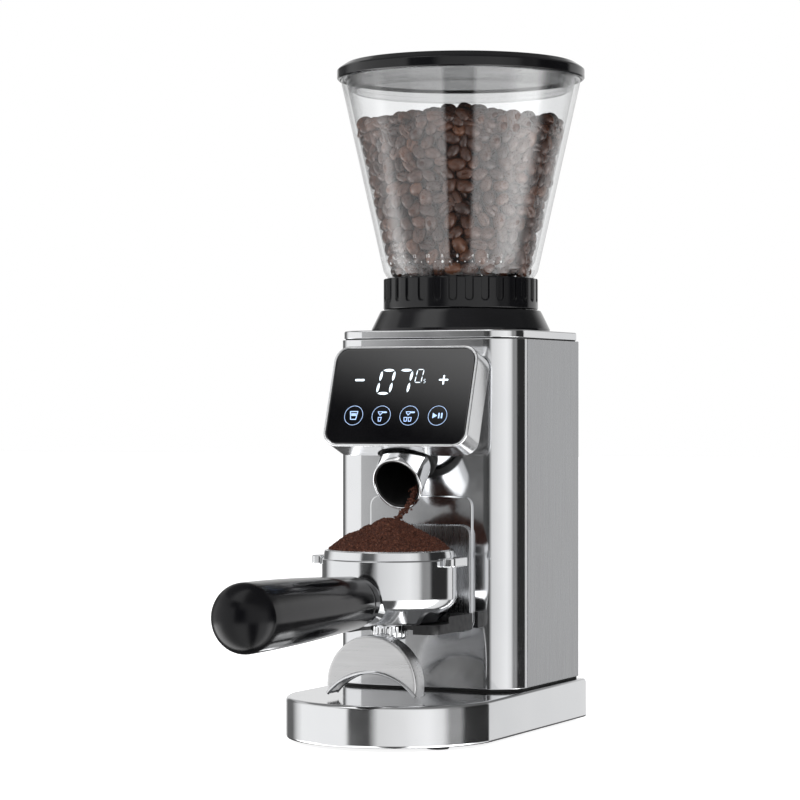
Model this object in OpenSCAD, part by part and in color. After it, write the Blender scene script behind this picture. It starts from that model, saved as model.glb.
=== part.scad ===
// Burr coffee grinder for a portafilter: a round-nosed steel base, a tall steel column with a tilted
// touch display, a slanted outlet chute, a clear conical bean hopper on a knurled grind-setting ring,
// and a portafilter resting on a black fork. Inside are the motor, a two-stage gearbox and the burrs.
// Front is -Y, right is +X, up is +Z. Inside the modules, Y is measured from the burr axis, and
// at_axis() moves each piece so that the whole object's box is centred on the origin.

/* [Base] */
// Width of the base between its straight sides
base_w = 120; // [118:1:124]
// Distance from the burr axis back to the rear of the base
base_rear = 48; // [47:1:50]
// Distance from the burr axis forward to the centre of the base's round nose
base_nose = 90; // [88:1:93]
// Height of the steel base shell
base_h = 22.6; // [22:0.1:24]
// Height of the part of each rubber foot that shows below the base
foot_h = 2; // [2:0.5:3]
// Diameter of a rubber foot
foot_d = 12.5; // [11:0.5:14]

/* [Column] */
// Width of the column
column_w = 113; // [109:0.5:113]
// Distance from the burr axis forward to the column's front face
column_front = 54.7; // [54:0.1:56]
// Distance from the burr axis back to the column's rear face
column_rear = 44; // [43.5:0.5:45]
// Height of the steel column, from the top of its plinth
column_h = 196.2; // [195.8:0.2:197]
// Radius of the column's two front corners
column_corner = 18.5; // [16:0.5:20]
// Where the front shell ends and the rear cover begins, ahead of the burr axis
column_seam = 36; // [34:0.5:36]
// Thickness of the sheet steel
sheet_t = 1.2; // [1:0.1:1.4]

/* [Display] */
// Lean of the display back from upright, in degrees
display_tilt = 19; // [18:0.5:20]
// Width of the display glass
glass_w = 85; // [83:0.5:86]
// Height of the display glass, along its slope
glass_h = 56; // [55:0.5:57]
// Radius of the corners of the glass
glass_corner = 7.5; // [6:0.5:8]
// Depth of the display housing, at right angles to the glass
display_depth = 17; // [16:0.5:18]

/* [Chute] */
// Outside diameter of the outlet chute
chute_d = 27; // [26:0.5:27]
// Lean of the chute's axis forward from upright, in degrees
chute_lean = 38; // [37:0.5:39]
// Lean of the plane of the chute's mouth, back from upright, in degrees
mouth_lean = 25; // [22:1:28]

/* [Hopper] */
// Outside diameter of the hopper just above its rounded foot
hopper_low_d = 92.4; // [90:0.2:94]
// Outside diameter of the hopper at its rim
hopper_rim_d = 139.8; // [138:0.2:141]
// Height of the hopper's straight conical wall
hopper_wall_h = 106; // [105:0.5:107]
// Thickness of the hopper's clear wall
hopper_t = 3; // [2.6:0.1:3.2]
// Diameter of the lid
lid_d = 143.8; // [143.4:0.2:146]

/* [Grind setting] */
// Diameter of the knurled setting ring
ring_d = 89.8; // [89:0.2:91]
// Number of grip flutes round the ring
ring_flutes = 30; // [24:1:32]

/* [Portafilter] */
// Outside diameter of the portafilter bowl
bowl_d = 74.4; // [74:0.2:75]
// Height of the bowl from its flat bottom to its rim
bowl_h = 40; // [39.5:0.5:41]
// Length of the handle's grip
grip_l = 134; // [124:1:136]
// Largest diameter of the grip
grip_d = 36; // [34:0.5:37]
// Width of the double spout across its tips
spout_w = 53; // [50:1:56]

/* [Hidden] */

$fn = 96;
fine = 144;                      // segments on the large round pieces
hole_gap = 0.05;                 // radial clearance of running fits
face_gap = 0.3;                  // gap between curved faces of different bodies
screw_d = 3;
screw_hole_d = 3.4;
wire_r = 26;                     // radius of the way for air and wires between the base and the column

// Heights above the table
base_top = foot_h + base_h;
plinth_h = 1.4;
column_low = base_top + plinth_h;
column_top = column_low + column_h;
gasket_h = 0.6;
plate_low = column_top + gasket_h;
plate_h = 4.6;
plate_top = plate_low + plate_h;
collar_h = 12.2;
collar_top = plate_top + collar_h;
ring_low = collar_top + 0.5;
ring_h = 18;
ring_top = ring_low + ring_h;
hopper_low = ring_top + face_gap;
wall_low = hopper_low + 10;      // where the hopper's straight wall begins
wall_top = wall_low + hopper_wall_h;

// Base
base_r = base_w / 2;
base_edge = 2.4;                 // radius of the base's top edge
base_t = 1.5;
foot_x = 38;
foot_front = -117;
foot_back = 34;
base_plate_low = foot_h + 0.4;
base_plate_t = 2;
bush_d = 6;                      // stem of a rubber foot, in the base plate
base_screw_x = 50;

// Column
column_half = column_w / 2;
corner_y = -(column_front - column_corner);
seam_gap = 0.3;
post_x = 45;
post_front = -27;
post_back = 34;
post_d = 8;
deck_low = 146;
deck_t = 3;
gland_z = 42;
gland_d = 12;
cord_d = 7.2;
vent_rows = 10;
vent_w = 26;
vent_h = 2.4;
vent_low = 62;
vent_pitch = 6;

// Display: its own frame has X across, Y up the glass and Z out of the glass
display_y = -83.55;
display_z = 190.1;
bezel = 1.6;
glass_t = 1.2;
housing_t = 2.2;
bracket_half = 40.5;
bracket_low = 157;
bracket_high = 213;
bracket_corner = 8;

// Chute, along its own axis
mouth_y = -87.5;
mouth_z = 140.7;
chute_r = chute_d / 2;
chute_t = 1.1;
liner_t = 0.9;
chute_len = 45;                  // from the middle of the mouth up to the outlet duct
collar_low = 19;                 // the black collar, along the chute
collar_high = 25.5;
collar_wall = 1.9;
window_w = 21;                   // the way from the grind chamber into the outlet duct
window_h = 11;
window_low = 177;

// Burr group
chamber_r = 41;
chamber_bore = 33.3;
chamber_floor = 176;
carrier_r = chamber_bore - face_gap;
carrier_low = 188.5;
carrier_high = 232;
thread_r = 34.6;                 // where the carrier's upper rim turns in the setting ring
burr_low = 190;
burr_h = 22;
burr_ring_r = 29.5;
cone_r = 24;
cone_taper = 0.375;              // fall of the cone burr's radius per millimetre of height
burr_gap = 0.7;
shaft_d = 8;
shaft_top = 216;
bearing_d = 22;
bearing_w = 7;
bearing_seat_r = 15;
impeller_low = chamber_floor + 0.5;

// Gear train: two equal stages, so the output turns on the motor's axis
gear_module = 0.8;
pinion_teeth = 16;
wheel_teeth = 48;
half_pitch = 180 / wheel_teeth;
pressure_angle = 20;
pinion_pitch_r = pinion_teeth * gear_module / 2;
wheel_pitch_r = wheel_teeth * gear_module / 2;
idler_x = pinion_pitch_r + wheel_pitch_r;
tooth_play = 0.06;               // thinning of each tooth at the pitch circle
stage_1_low = 122;
stage_2_low = 131;
gear_w = 7;
idler_axle_d = 6;
gearbox_in_r = 22;
gearbox_t = 2.5;
gearbox_low = 117;
gearbox_high = 142;
board_t = 1.6;

// Motor
motor_r = 27;
motor_low = 50;
motor_high = 115;
motor_wall = 1.5;
motor_shaft_d = 5;
motor_shaft_low = 38;
motor_shaft_top = 130;
magnet_in_r = 19.5;
magnet_low = 62;
magnet_high = 102;
rotor_r = 18.7;
rotor_low = 64;
rotor_h = 36;
fan_low = 39;
fan_r = 23;
fan_h = 8;

// Hopper
low_r = hopper_low_d / 2;
rim_r = hopper_rim_d / 2;
wall_slope = (rim_r - low_r) / hopper_wall_h;
floor_r = 41;
bean_gap = 0.4;
lid_h = 8.6;
lid_dish = 1.2;                  // depth of the shallow dish in the top of the lid
flute_w = 5;
flute_depth = 1.3;
flute_low = ring_low + 6.6;      // centre of each flute's rounded lower end

// Cradle and portafilter
bowl_y = -97.5;
bowl_r = bowl_d / 2;
rim_z = 105.5;
bowl_low = rim_z - bowl_h;
bowl_t = 2;
rim_band = 4.8;
rim_top_r = bowl_r - 1.4;
bowl_curve_r = 13;
handle_z = 79;
neck_r = 11.2;
ferrule_y = -135;
grip_start = -144;
ferrule_d = 24.6;
dock_w = 63;
dock_low = 58;
dock_high = 134;
dock_corner = 6;
dock_t = 1.5;
cradle_high = 118;
cradle_t = 2;
cradle_travel = 4;               // height adjustment, up to where a heaped filter would meet the chute
fork_low = 60;
fork_high = 69;
fork_half = 33;
fork_front = -108;
fork_ledge = bowl_low - face_gap;
seat_r = 33.6;
slot_r = 19;
stud_x = 16.6;
stud_z = 98;
stud_r = 2.5;
stud_head_d = 15;
lug_tip = 43.3;
lug_w = 20;
lug_low = 97;
lug_h = 5;
basket_r = 29.6;
basket_low = 77;
coffee_h = 17;                   // height of the heap above the rim
nut_r = 10;
nut_low = 57.4;
nut_bore_r = 4.5;
spout_top = 59.8;
spout_low = 26.6;
spout_y = -115;
spout_t = 12;
spout_arch = 13;                 // rise of the arch between the spout's tips

// The whole object's box runs from the end of the grip to the rear of the lid
object_front = grip_start - grip_l;
object_back = max(base_rear, lid_d / 2);
axis_y = -(object_front + object_back) / 2;

module at_axis() {
  translate([0, axis_y, 0]) children();
}

// A rectangle with round corners, centred, as exact squares and circles
module round_rect(w, h, r) {
  square([w - 2 * r, h], center = true);
  square([w, h - 2 * r], center = true);
  for (sx = [-1, 1], sy = [-1, 1]) {
    translate([sx * (w / 2 - r), sy * (h / 2 - r)]) circle(r);
  }
}

// A round ring
module ring(r_out, r_in, z_low, z_high) {
  translate([0, 0, z_low])
    difference() {
      cylinder(r = r_out, h = z_high - z_low);
      translate([0, 0, -1]) cylinder(r = r_in, h = z_high - z_low + 2);
    }
}

// A closed shape drawn in the XZ plane, extruded from y_front to y_back
module along_y(y_front, y_back) {
  translate([0, y_back, 0])
    rotate([90, 0, 0])
      linear_extrude(y_back - y_front) children();
}

// ---- Base ----

// Outline of the base, pulled in by inset
module base_outline(inset) {
  translate([0, -base_nose]) circle(base_r - inset, $fn = fine);
  translate([-(base_r - inset), -base_nose])
    square([2 * (base_r - inset), base_nose + base_rear - inset]);
}

// Half section of the base: a straight side with a rounded top edge
module base_section() {
  square([base_r - base_edge, base_h]);
  square([base_r, base_h - base_edge]);
  translate([base_r - base_edge, base_h - base_edge]) circle(base_edge, $fn = 48);
}

module base_solid() {
  translate([0, -base_nose, foot_h])
    rotate_extrude($fn = fine) base_section();
  along_y(-base_nose, base_rear)
    translate([0, foot_h]) {
      base_section();
      mirror([1, 0]) base_section();
    }
}

module base_shell() {
  color("#cfd2d6")
    at_axis()
      difference() {
        base_solid();
        translate([0, 0, foot_h - 1]) linear_extrude(base_h + 1 - base_edge) base_outline(base_t);
        // air and wires pass up into the column
        translate([0, 0, base_top - 6]) cylinder(r = wire_r, h = 8);
      }
}

module base_plate() {
  slot_w = 3;
  slot_l = 40;
  slot_pitch = 7;
  color("#3a3a3c")
    at_axis()
      difference() {
        translate([0, 0, base_plate_low]) linear_extrude(base_plate_t) base_outline(base_t + 0.2);
        foot_places() translate([0, 0, base_plate_low - 1]) cylinder(d = bush_d + 2 * hole_gap, h = 6);
        screw_places() translate([0, 0, base_plate_low - 1]) cylinder(d = screw_hole_d, h = 6);
        // cooling slots under the motor
        for (i = [-3:3]) {
          translate([i * slot_pitch - slot_w / 2, -slot_l / 2, base_plate_low - 1]) cube([slot_w, slot_l, 6]);
        }
      }
}

module foot_places() {
  for (sx = [-1, 1], y = [foot_front, foot_back]) {
    translate([sx * foot_x, y, 0]) children();
  }
}

module rubber_feet() {
  color("#202020")
    at_axis()
      foot_places() {
        cylinder(d = foot_d, h = base_plate_low);
        translate([0, 0, base_plate_low]) cylinder(d = bush_d, h = base_plate_t + 1.5);
      }
}

module screw_places() {
  for (sx = [-1, 1], y = [-80, -5]) {
    translate([sx * base_screw_x, y, 0]) children();
  }
}

module base_screws() {
  head_h = 1.6;
  color("#8d9094")
    at_axis()
      screw_places() {
        translate([0, 0, base_plate_low - head_h]) cylinder(d = 2 * screw_d, h = head_h);
        translate([0, 0, base_plate_low]) cylinder(d = screw_d, h = 12);
      }
}

// ---- Column ----

// Section of the column, pulled in by inset
module column_outline(inset) {
  half = column_half - inset;
  r = column_corner - inset;
  translate([-half, corner_y]) square([2 * half, column_rear - inset - corner_y]);
  translate([-(half - r), -(column_front - inset)])
    square([2 * (half - r), column_rear - 10 + column_front]);
  for (side = [-1, 1]) {
    translate([side * (half - r), corner_y]) circle(r);
  }
}

module column_wall() {
  difference() {
    column_outline(0);
    column_outline(sheet_t);
  }
}

module plinth_gasket() {
  color("#1a1a1a")
    at_axis()
      translate([0, 0, base_top])
        linear_extrude(plinth_h)
          difference() {
            column_outline(1);
            column_outline(5);
          }
}

// Holes in the column's front: the outlet duct and the two studs of the dock
module front_holes() {
  duct_w = 32;
  duct_low = 160;
  duct_h = 37;
  translate([-duct_w / 2, -column_front - 1, duct_low]) cube([duct_w, 4, duct_h]);
  stud_places(-column_front - 1, 4) circle(r = stud_r + 0.1);
}

module front_shell() {
  color("#d4d7da")
    at_axis()
      difference() {
        translate([0, 0, column_low]) linear_extrude(column_h) column_wall();
        translate([-column_half - 1, -column_seam, column_low - 1])
          cube([column_w + 2, column_rear + column_seam + 1, column_h + 2]);
        front_holes();
      }
}

module rear_cover() {
  color("#b4b7ba")
    at_axis()
      difference() {
        translate([0, 0, column_low]) linear_extrude(column_h) column_wall();
        translate([-column_half - 1, -column_front - 1, column_low - 1])
          cube([column_w + 2, column_front + 1 - column_seam + seam_gap, column_h + 2]);
        rear_vents();
        translate([0, column_rear + 1, gland_z]) rotate([90, 0, 0]) cylinder(d = gland_d, h = 4);
        rear_screw_places() cylinder(d = screw_hole_d, h = 6, center = true);
      }
}

// Two columns of narrow cooling slots in the rear wall
module rear_vents() {
  for (i = [0:vent_rows - 1], x = [-vent_w - 4, 4]) {
    translate([x, column_rear - 3, vent_low + i * vent_pitch]) cube([vent_w, 5, vent_h]);
  }
}

module rear_screw_places() {
  for (sx = [-1, 1], z = [40, 208]) {
    translate([sx * 45, column_rear, z]) rotate([90, 0, 0]) children();
  }
}

module rear_screws() {
  head_h = 1.4;
  color("#8d9094")
    at_axis()
      rear_screw_places() {
        translate([0, 0, -head_h]) cylinder(d = 6.4, h = head_h);
        cylinder(d = screw_d, h = sheet_t + 4);
      }
}

// Strain-relief bush for the mains lead, in the rear wall
module cord_gland() {
  color("#1b1b1b")
    at_axis()
      translate([0, column_rear, gland_z])
        rotate([-90, 0, 0])
          difference() {
            union() {
              translate([0, 0, -sheet_t - 6]) cylinder(d = gland_d - 0.1, h = sheet_t + 6.1);
              cylinder(d = gland_d + 4, h = 2);
              cylinder(d = gland_d - 1, h = 3.8);
            }
            translate([0, 0, -sheet_t - 7]) cylinder(d = cord_d, h = 14);
          }
}

module top_gasket() {
  color("#1a1a1a")
    at_axis()
      translate([0, 0, column_top])
        linear_extrude(gasket_h)
          difference() {
            column_outline(1.8);
            column_outline(6);
          }
}

module top_plate() {
  color("#cfd2d6")
    at_axis()
      difference() {
        translate([0, 0, plate_low]) linear_extrude(plate_h) column_outline(0.9);
        translate([0, 0, plate_low - 1]) linear_extrude(plate_h - 0.8) column_outline(2.7);
        translate([0, 0, plate_low - 1]) cylinder(r = 43, h = plate_h + 2, $fn = fine);
      }
}

module hopper_collar() {
  r_in = 38;
  r_low = 51.8;
  r_high = 47;
  color("#161616")
    at_axis()
      translate([0, 0, plate_top])
        rotate_extrude($fn = fine)
          polygon([
            [r_in, 0], [r_low, 0], [r_low, 1.2], [r_high + 0.6, collar_h - 1.6], [r_high, collar_h - 1],
            [r_high - 1, collar_h], [r_in, collar_h]
          ]);
}

// Upright frame that carries the motor, the gearbox and the casings
module chassis_frame() {
  color("#5b5f63")
    at_axis()
      union() {
        difference() {
          union() {
            deck(column_low, deck_t);
            deck(deck_low, deck_t);
          }
          translate([0, 0, column_low - 1]) cylinder(r = wire_r, h = deck_t + 2);
          translate([0, 0, deck_low - 1]) cylinder(r = bearing_seat_r + 0.2, h = deck_t + 2);
        }
        for (x = [-post_x, post_x], y = [post_front, post_back]) {
          translate([x, y, column_low + deck_t])
            cylinder(d = post_d, h = deck_low - column_low - deck_t);
          translate([x, y, deck_low + deck_t])
            cylinder(d = post_d, h = column_top - deck_low - deck_t);
        }
      }
}

module deck(z, t) {
  translate([0, 0, z])
    linear_extrude(t)
      intersection() {
        column_outline(sheet_t + 0.3);
        square([2 * (post_x + 6), 200], center = true);
      }
}

// ---- Display ----

module at_display() {
  translate([0, display_y, display_z]) rotate([90 - display_tilt, 0, 0]) children();
}

module housing_outline(inset) {
  round_rect(glass_w + 2 * bezel - 2 * inset, glass_h + 2 * bezel - 2 * inset, glass_corner + bezel - inset);
}

module display_housing() {
  color("#c9ccd0")
    at_axis()
      difference() {
        at_display()
          difference() {
            translate([0, 0, -display_depth]) linear_extrude(display_depth) housing_outline(0);
            translate([0, 0, -glass_t])
              linear_extrude(2) round_rect(glass_w + 0.2, glass_h + 0.2, glass_corner);
            translate([0, 0, -display_depth - 1])
              linear_extrude(display_depth + 1 - glass_t - 1.6) housing_outline(housing_t);
            translate([0, 0, -display_depth]) linear_extrude(display_depth + 1) housing_outline(6);
          }
        chute_bar(chute_r + 2.1, 4, chute_len);
      }
}

// Black bracket that joins the tilted housing to the upright face of the column
module display_bracket() {
  color("#1c1c1e")
    at_axis()
      difference() {
        along_y(-100, -column_front) bracket_outline(0);
        along_y(-101, -column_front + 1) bracket_outline(3);
        at_display() translate([-60, -60, -display_depth]) cube([120, 120, 60]);
        chute_bar(chute_r + 2.1, 4, chute_len);
      }
}

module bracket_outline(inset) {
  translate([0, (bracket_low + bracket_high) / 2])
    round_rect(
      2 * (bracket_half - inset), bracket_high - bracket_low - 2 * inset, bracket_corner - inset
    );
}

module display_glass() {
  color("#0c0c0e")
    at_axis()
      at_display()
        translate([0, 0, -glass_t]) linear_extrude(glass_t) round_rect(glass_w, glass_h, glass_corner);
}

module display_board() {
  color("#1f5a3a")
    at_axis()
      at_display() {
        translate([0, 2, -7]) linear_extrude(board_t) round_rect(78, 42, 2);
        // two digit blocks, a row of touch pads and a plug
        for (x = [-9, 9]) {
          translate([x - 7, -1, -5.4]) cube([14, 18, 2.2]);
        }
        for (i = [-1.5:1:1.5]) {
          translate([i * 17.1, -14, -5.4]) cylinder(r = 5, h = 2.2);
        }
        translate([-30, 8, -10]) cube([14, 6, 3]);
      }
}

module display_screws() {
  color("#8d9094")
    at_axis()
      at_display()
        for (x = [-36, 36], y = [-15, 19]) {
          translate([x, y, -9]) cylinder(d = 5, h = 2);
        }
}

// ---- Chute ----

module at_chute() {
  translate([0, mouth_y, mouth_z]) rotate([-chute_lean, 0, 0]) children();
}

// A round bar along the chute's axis, between two distances from the middle of the mouth
module chute_bar(r, low, high) {
  at_chute() translate([0, 0, low]) cylinder(r = r, h = high - low);
}

// Everything in front of and below the plane of the mouth
module beyond_mouth() {
  translate([0, mouth_y, mouth_z])
    rotate([mouth_lean, 0, 0])
      translate([-40, -60, -60]) cube([80, 60, 120]);
}

module chute_tube() {
  color("#d0d3d6")
    at_axis()
      difference() {
        chute_bar(chute_r, -25, chute_len);
        chute_bar(chute_r - chute_t, -26, chute_len + 1);
        beyond_mouth();
      }
}

module chute_liner() {
  color("#111111")
    at_axis()
      difference() {
        chute_bar(chute_r - chute_t, -25, chute_len);
        chute_bar(chute_r - chute_t - liner_t, -26, chute_len + 1);
        translate([0, 1, 0.4]) beyond_mouth();
      }
}

module chute_collar() {
  color("#141414")
    at_axis()
      difference() {
        chute_bar(chute_r + collar_wall, collar_low, collar_high);
        chute_bar(chute_r + hole_gap, collar_low - 1, collar_high + 1);
      }
}

// Moulded duct from the grind chamber's window to the top of the chute
module outlet_duct() {
  half = 15.4;
  front = 66;
  low = 169;
  high = 193;
  color("#26262a")
    at_axis()
      difference() {
        translate([-half, -front, low]) cube([2 * half, front - chamber_r, high - low]);
        chute_bar(chute_r + hole_gap, 0, chute_len + hole_gap);
        chute_bar(chute_r - chute_t - liner_t, chute_len - 1, chute_len + 9);
        translate([-window_w / 2, -60, window_low]) cube([window_w, 40, window_h]);
      }
}

// ---- Dock and cradle ----

// Two round places side by side on the dock, extruded back from y_front by depth
module stud_places(y_front, depth) {
  for (x = [-stud_x, stud_x]) {
    translate([x, 0, stud_z]) along_y(y_front, y_front + depth) children();
  }
}

module dock_outline(high) {
  translate([0, (dock_low + high) / 2]) round_rect(dock_w, high - dock_low, dock_corner);
}

module dock_plate() {
  color("#c4c7ca")
    at_axis()
      difference() {
        along_y(-column_front - dock_t, -column_front) dock_outline(dock_high);
        stud_places(-column_front - 5, 10) circle(r = stud_r + 0.1);
      }
}

module cradle_studs() {
  head_back = -column_front - dock_t - face_gap - cradle_t - face_gap;
  head_t = 1.6;
  color("#d6d8da")
    at_axis() {
      stud_places(head_back, -column_front + 4 - head_back) circle(r = stud_r);
      stud_places(head_back - head_t, head_t) circle(d = stud_head_d);
    }
}

module cradle_plate() {
  back = -column_front - dock_t - face_gap;
  color("#d0d3d6")
    at_axis()
      difference() {
        along_y(back - cradle_t, back) dock_outline(cradle_high);
        for (x = [-stud_x, stud_x]) {
          translate([x, 0, stud_z - cradle_travel / 2])
            along_y(back - 5, back + 5) round_rect(6, cradle_travel + 6, 2.99);
        }
      }
}

// Black fork that holds the portafilter: a narrow slot for its nut below a wide seat for its bowl
module cradle_fork() {
  back = -column_front - dock_t - face_gap - cradle_t;
  r = 6;
  color("#141414")
    at_axis()
      difference() {
        translate([0, 0, fork_low])
          linear_extrude(fork_high - fork_low) {
            translate([-fork_half, fork_front + r]) square([2 * fork_half, back - fork_front - r]);
            translate([-fork_half + r, fork_front]) square([2 * (fork_half - r), 2 * r]);
            for (sx = [-1, 1]) {
              translate([sx * (fork_half - r), fork_front + r]) circle(r);
            }
          }
        fork_slot(slot_r, fork_low - 1, fork_high + 1);
        fork_slot(seat_r, fork_ledge, fork_high + 1);
      }
}

module fork_slot(r, z_low, z_high) {
  translate([0, bowl_y, z_low]) cylinder(r = r, h = z_high - z_low);
  translate([-r, bowl_y - 40, z_low]) cube([2 * r, 40, z_high - z_low]);
}

// ---- Motor ----

module motor_can() {
  color("#a9adb1")
    at_axis()
      difference() {
        translate([0, 0, motor_low]) cylinder(r = motor_r, h = motor_high - motor_low);
        translate([0, 0, motor_low + 2]) cylinder(r = motor_r - motor_wall, h = motor_high - motor_low);
        translate([0, 0, motor_low - 1]) cylinder(d = motor_shaft_d + 2 * hole_gap, h = 4);
      }
}

module motor_magnets() {
  color("#4a4a4c")
    at_axis()
      difference() {
        ring(motor_r - motor_wall, magnet_in_r, magnet_low, magnet_high);
        // gaps between the four magnets
        for (a = [0, 90]) {
          rotate([0, 0, a])
            translate([-4, -30, magnet_low - 2]) cube([8, 60, magnet_high - magnet_low + 4]);
        }
      }
}

module motor_end_cap() {
  color("#2c2c2e")
    at_axis()
      difference() {
        translate([0, 0, motor_high]) cylinder(r = motor_r, h = 2);
        translate([0, 0, motor_high - 1]) cylinder(d = motor_shaft_d + 2 * hole_gap, h = 4);
      }
}

// Shaft, commutator, windings and a slotted iron core
module motor_rotor() {
  slot_w = 2.4;
  color("#b87333")
    at_axis()
      union() {
        translate([0, 0, motor_shaft_low]) cylinder(d = motor_shaft_d, h = motor_shaft_top - motor_shaft_low);
        translate([0, 0, rotor_low - 10]) cylinder(r = 8, h = 5);
        translate([0, 0, rotor_low - 4]) cylinder(r = 15.5, h = rotor_h + 10);
        difference() {
          translate([0, 0, rotor_low]) cylinder(r = rotor_r, h = rotor_h);
          for (a = [0:30:359]) {
            rotate([0, 0, a]) translate([16, -slot_w / 2, rotor_low - 1]) cube([6, slot_w, rotor_h + 2]);
          }
        }
      }
}

module cooling_fan() {
  blade_t = 1.4;
  color("#e4e4e4")
    at_axis()
      difference() {
        translate([0, 0, fan_low]) {
          cylinder(r = 6, h = fan_h);
          cylinder(r = fan_r, h = 1.2);
          for (a = [0:40:359]) {
            rotate([0, 0, a]) translate([5, -blade_t / 2, 0]) cube([fan_r - 5, blade_t, fan_h]);
          }
        }
        translate([0, 0, fan_low - 1]) cylinder(d = motor_shaft_d, h = fan_h + 4);
      }
}

// ---- Gears ----

function involute(a) = tan(a) * 180 / PI - a;

// Half the angle of a tooth at radius r
function half_tooth(teeth, r) =
  let (rp = teeth * gear_module / 2, rb = rp * cos(pressure_angle))
    90 / teeth - tooth_play / rp * 90 / PI + involute(pressure_angle) - involute(acos(min(1, rb / r)));

function polar(r, a) = [r * cos(a), r * sin(a)];

// Outline of an involute gear with a tooth on the X axis
function gear_outline(teeth) =
  let (
    rp = teeth * gear_module / 2,
    tip = rp + 0.9 * gear_module,
    root = rp - 1.2 * gear_module,
    low = max(root, rp * cos(pressure_angle)),
    radii = [for (i = [0:5]) low + (tip - low) * i / 5]
  )
    [
      for (t = [0:teeth - 1])
        let (mid = t * 360 / teeth)
          each concat(
            [polar(root, mid - half_tooth(teeth, low))],
            [for (r = radii) polar(r, mid - half_tooth(teeth, r))],
            [for (i = [5:-1:0]) polar(radii[i], mid + half_tooth(teeth, radii[i]))],
            [polar(root, mid + half_tooth(teeth, low))]
          )
    ];

module gear(teeth, z, w, turn, bore_d) {
  translate([0, 0, z])
    difference() {
      rotate([0, 0, turn]) linear_extrude(w) polygon(gear_outline(teeth));
      translate([0, 0, -1]) cylinder(d = bore_d, h = w + 2);
    }
}

module motor_pinion() {
  color("#c9a227") at_axis() gear(pinion_teeth, stage_1_low - 0.5, 8, 0, motor_shaft_d);
}

module idler_gear() {
  bore_d = idler_axle_d + 2 * hole_gap;
  color("#e8e2cf")
    at_axis()
      translate([idler_x, 0, 0])
        union() {
          gear(wheel_teeth, stage_1_low, gear_w, half_pitch, bore_d);
          gear(pinion_teeth, stage_1_low + gear_w, stage_2_low - stage_1_low + 1.5, 0, bore_d);
        }
}

module output_gear() {
  color("#c9a227") at_axis() gear(wheel_teeth, stage_2_low, gear_w, half_pitch, shaft_d);
}

module idler_axle() {
  color("#9a9ea2")
    at_axis()
      translate([idler_x, 0, gearbox_low + gearbox_t])
        cylinder(d = idler_axle_d, h = gearbox_high - gearbox_low - gearbox_t);
}

module gearbox_outline(r) {
  circle(r);
  translate([idler_x, 0]) circle(r);
  translate([0, -r]) square([idler_x, 2 * r]);
}

module gearbox_case() {
  color("#47494c")
    at_axis()
      difference() {
        translate([0, 0, gearbox_low])
          linear_extrude(gearbox_high - gearbox_low) gearbox_outline(gearbox_in_r + gearbox_t);
        translate([0, 0, gearbox_low + gearbox_t])
          linear_extrude(gearbox_high - gearbox_low) gearbox_outline(gearbox_in_r);
        translate([0, 0, gearbox_low - 1]) cylinder(d = motor_shaft_d + 2 * hole_gap, h = 6);
      }
}

module gearbox_cover() {
  color("#47494c")
    at_axis()
      difference() {
        translate([0, 0, gearbox_high])
          linear_extrude(deck_low - gearbox_high) gearbox_outline(gearbox_in_r + gearbox_t);
        translate([0, 0, gearbox_high - 1]) cylinder(d = shaft_d + 2 * hole_gap, h = 6);
      }
}

// ---- Burr group ----

module grind_chamber() {
  floor_t = 4;
  color("#5c5f62")
    at_axis()
      difference() {
        union() {
          translate([0, 0, deck_low + 0.2]) cylinder(r = bearing_seat_r, h = chamber_floor - deck_low - 0.2);
          translate([0, 0, chamber_floor - floor_t])
            cylinder(r = chamber_r, h = column_top - chamber_floor + floor_t, $fn = fine);
        }
        translate([0, 0, chamber_floor]) cylinder(r = chamber_bore, h = 60, $fn = fine);
        translate([0, 0, deck_low - 1]) cylinder(d = bearing_d, h = chamber_floor - floor_t + 1 - deck_low);
        translate([0, 0, deck_low - 1]) cylinder(d = shaft_d + 6, h = 60);
        // window to the outlet duct
        translate([-window_w / 2, -chamber_r - 5, window_low]) cube([window_w, 20, window_h]);
      }
}

module shaft_bearings() {
  color("#b9bcc0")
    at_axis() {
      ring(bearing_d / 2, shaft_d / 2 + hole_gap, deck_low + 3, deck_low + 3 + bearing_w);
      ring(bearing_d / 2, shaft_d / 2 + hole_gap, chamber_floor - 4 - bearing_w, chamber_floor - 4);
    }
}

module drive_shaft() {
  low = stage_2_low - 0.5;
  color("#9da1a5")
    at_axis()
      translate([0, 0, low]) cylinder(d = shaft_d, h = shaft_top - low);
}

// Turning disc with four blades that sweep the ground coffee out through the window
module impeller() {
  blade_t = 2.4;
  color("#e6e6e2")
    at_axis()
      difference() {
        translate([0, 0, impeller_low]) {
          cylinder(r = 31, h = 1.6);
          cylinder(r = 9, h = 188 - impeller_low);
          for (a = [45:90:359]) {
            rotate([0, 0, a]) translate([8, -blade_t / 2, 0]) cube([22.5, blade_t, 9]);
          }
        }
        translate([0, 0, chamber_floor - 1]) cylinder(d = shaft_d, h = 20);
      }
}

function cone_radius(z) = cone_r - cone_taper * (z - burr_low);

// Inner burr: a cone with milled cutting grooves
module cone_burr() {
  mid_z = burr_low + burr_h / 2;
  groove = 1.1;
  color("#85898d")
    at_axis()
      difference() {
        union() {
          translate([0, 0, burr_low - 2]) cylinder(r = cone_r, h = 2);
          translate([0, 0, burr_low]) cylinder(r1 = cone_r, r2 = cone_radius(burr_low + burr_h), h = burr_h);
        }
        translate([0, 0, burr_low - 10]) cylinder(d = shaft_d, h = 50);
        for (a = [0:15:359]) {
          rotate([0, 0, a])
            translate([cone_radius(mid_z) + 0.4, 0, mid_z])
              rotate([0, -atan(cone_taper), 0]) rotate([0, 0, 45]) cube([groove, groove, 30], center = true);
        }
      }
}

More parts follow.
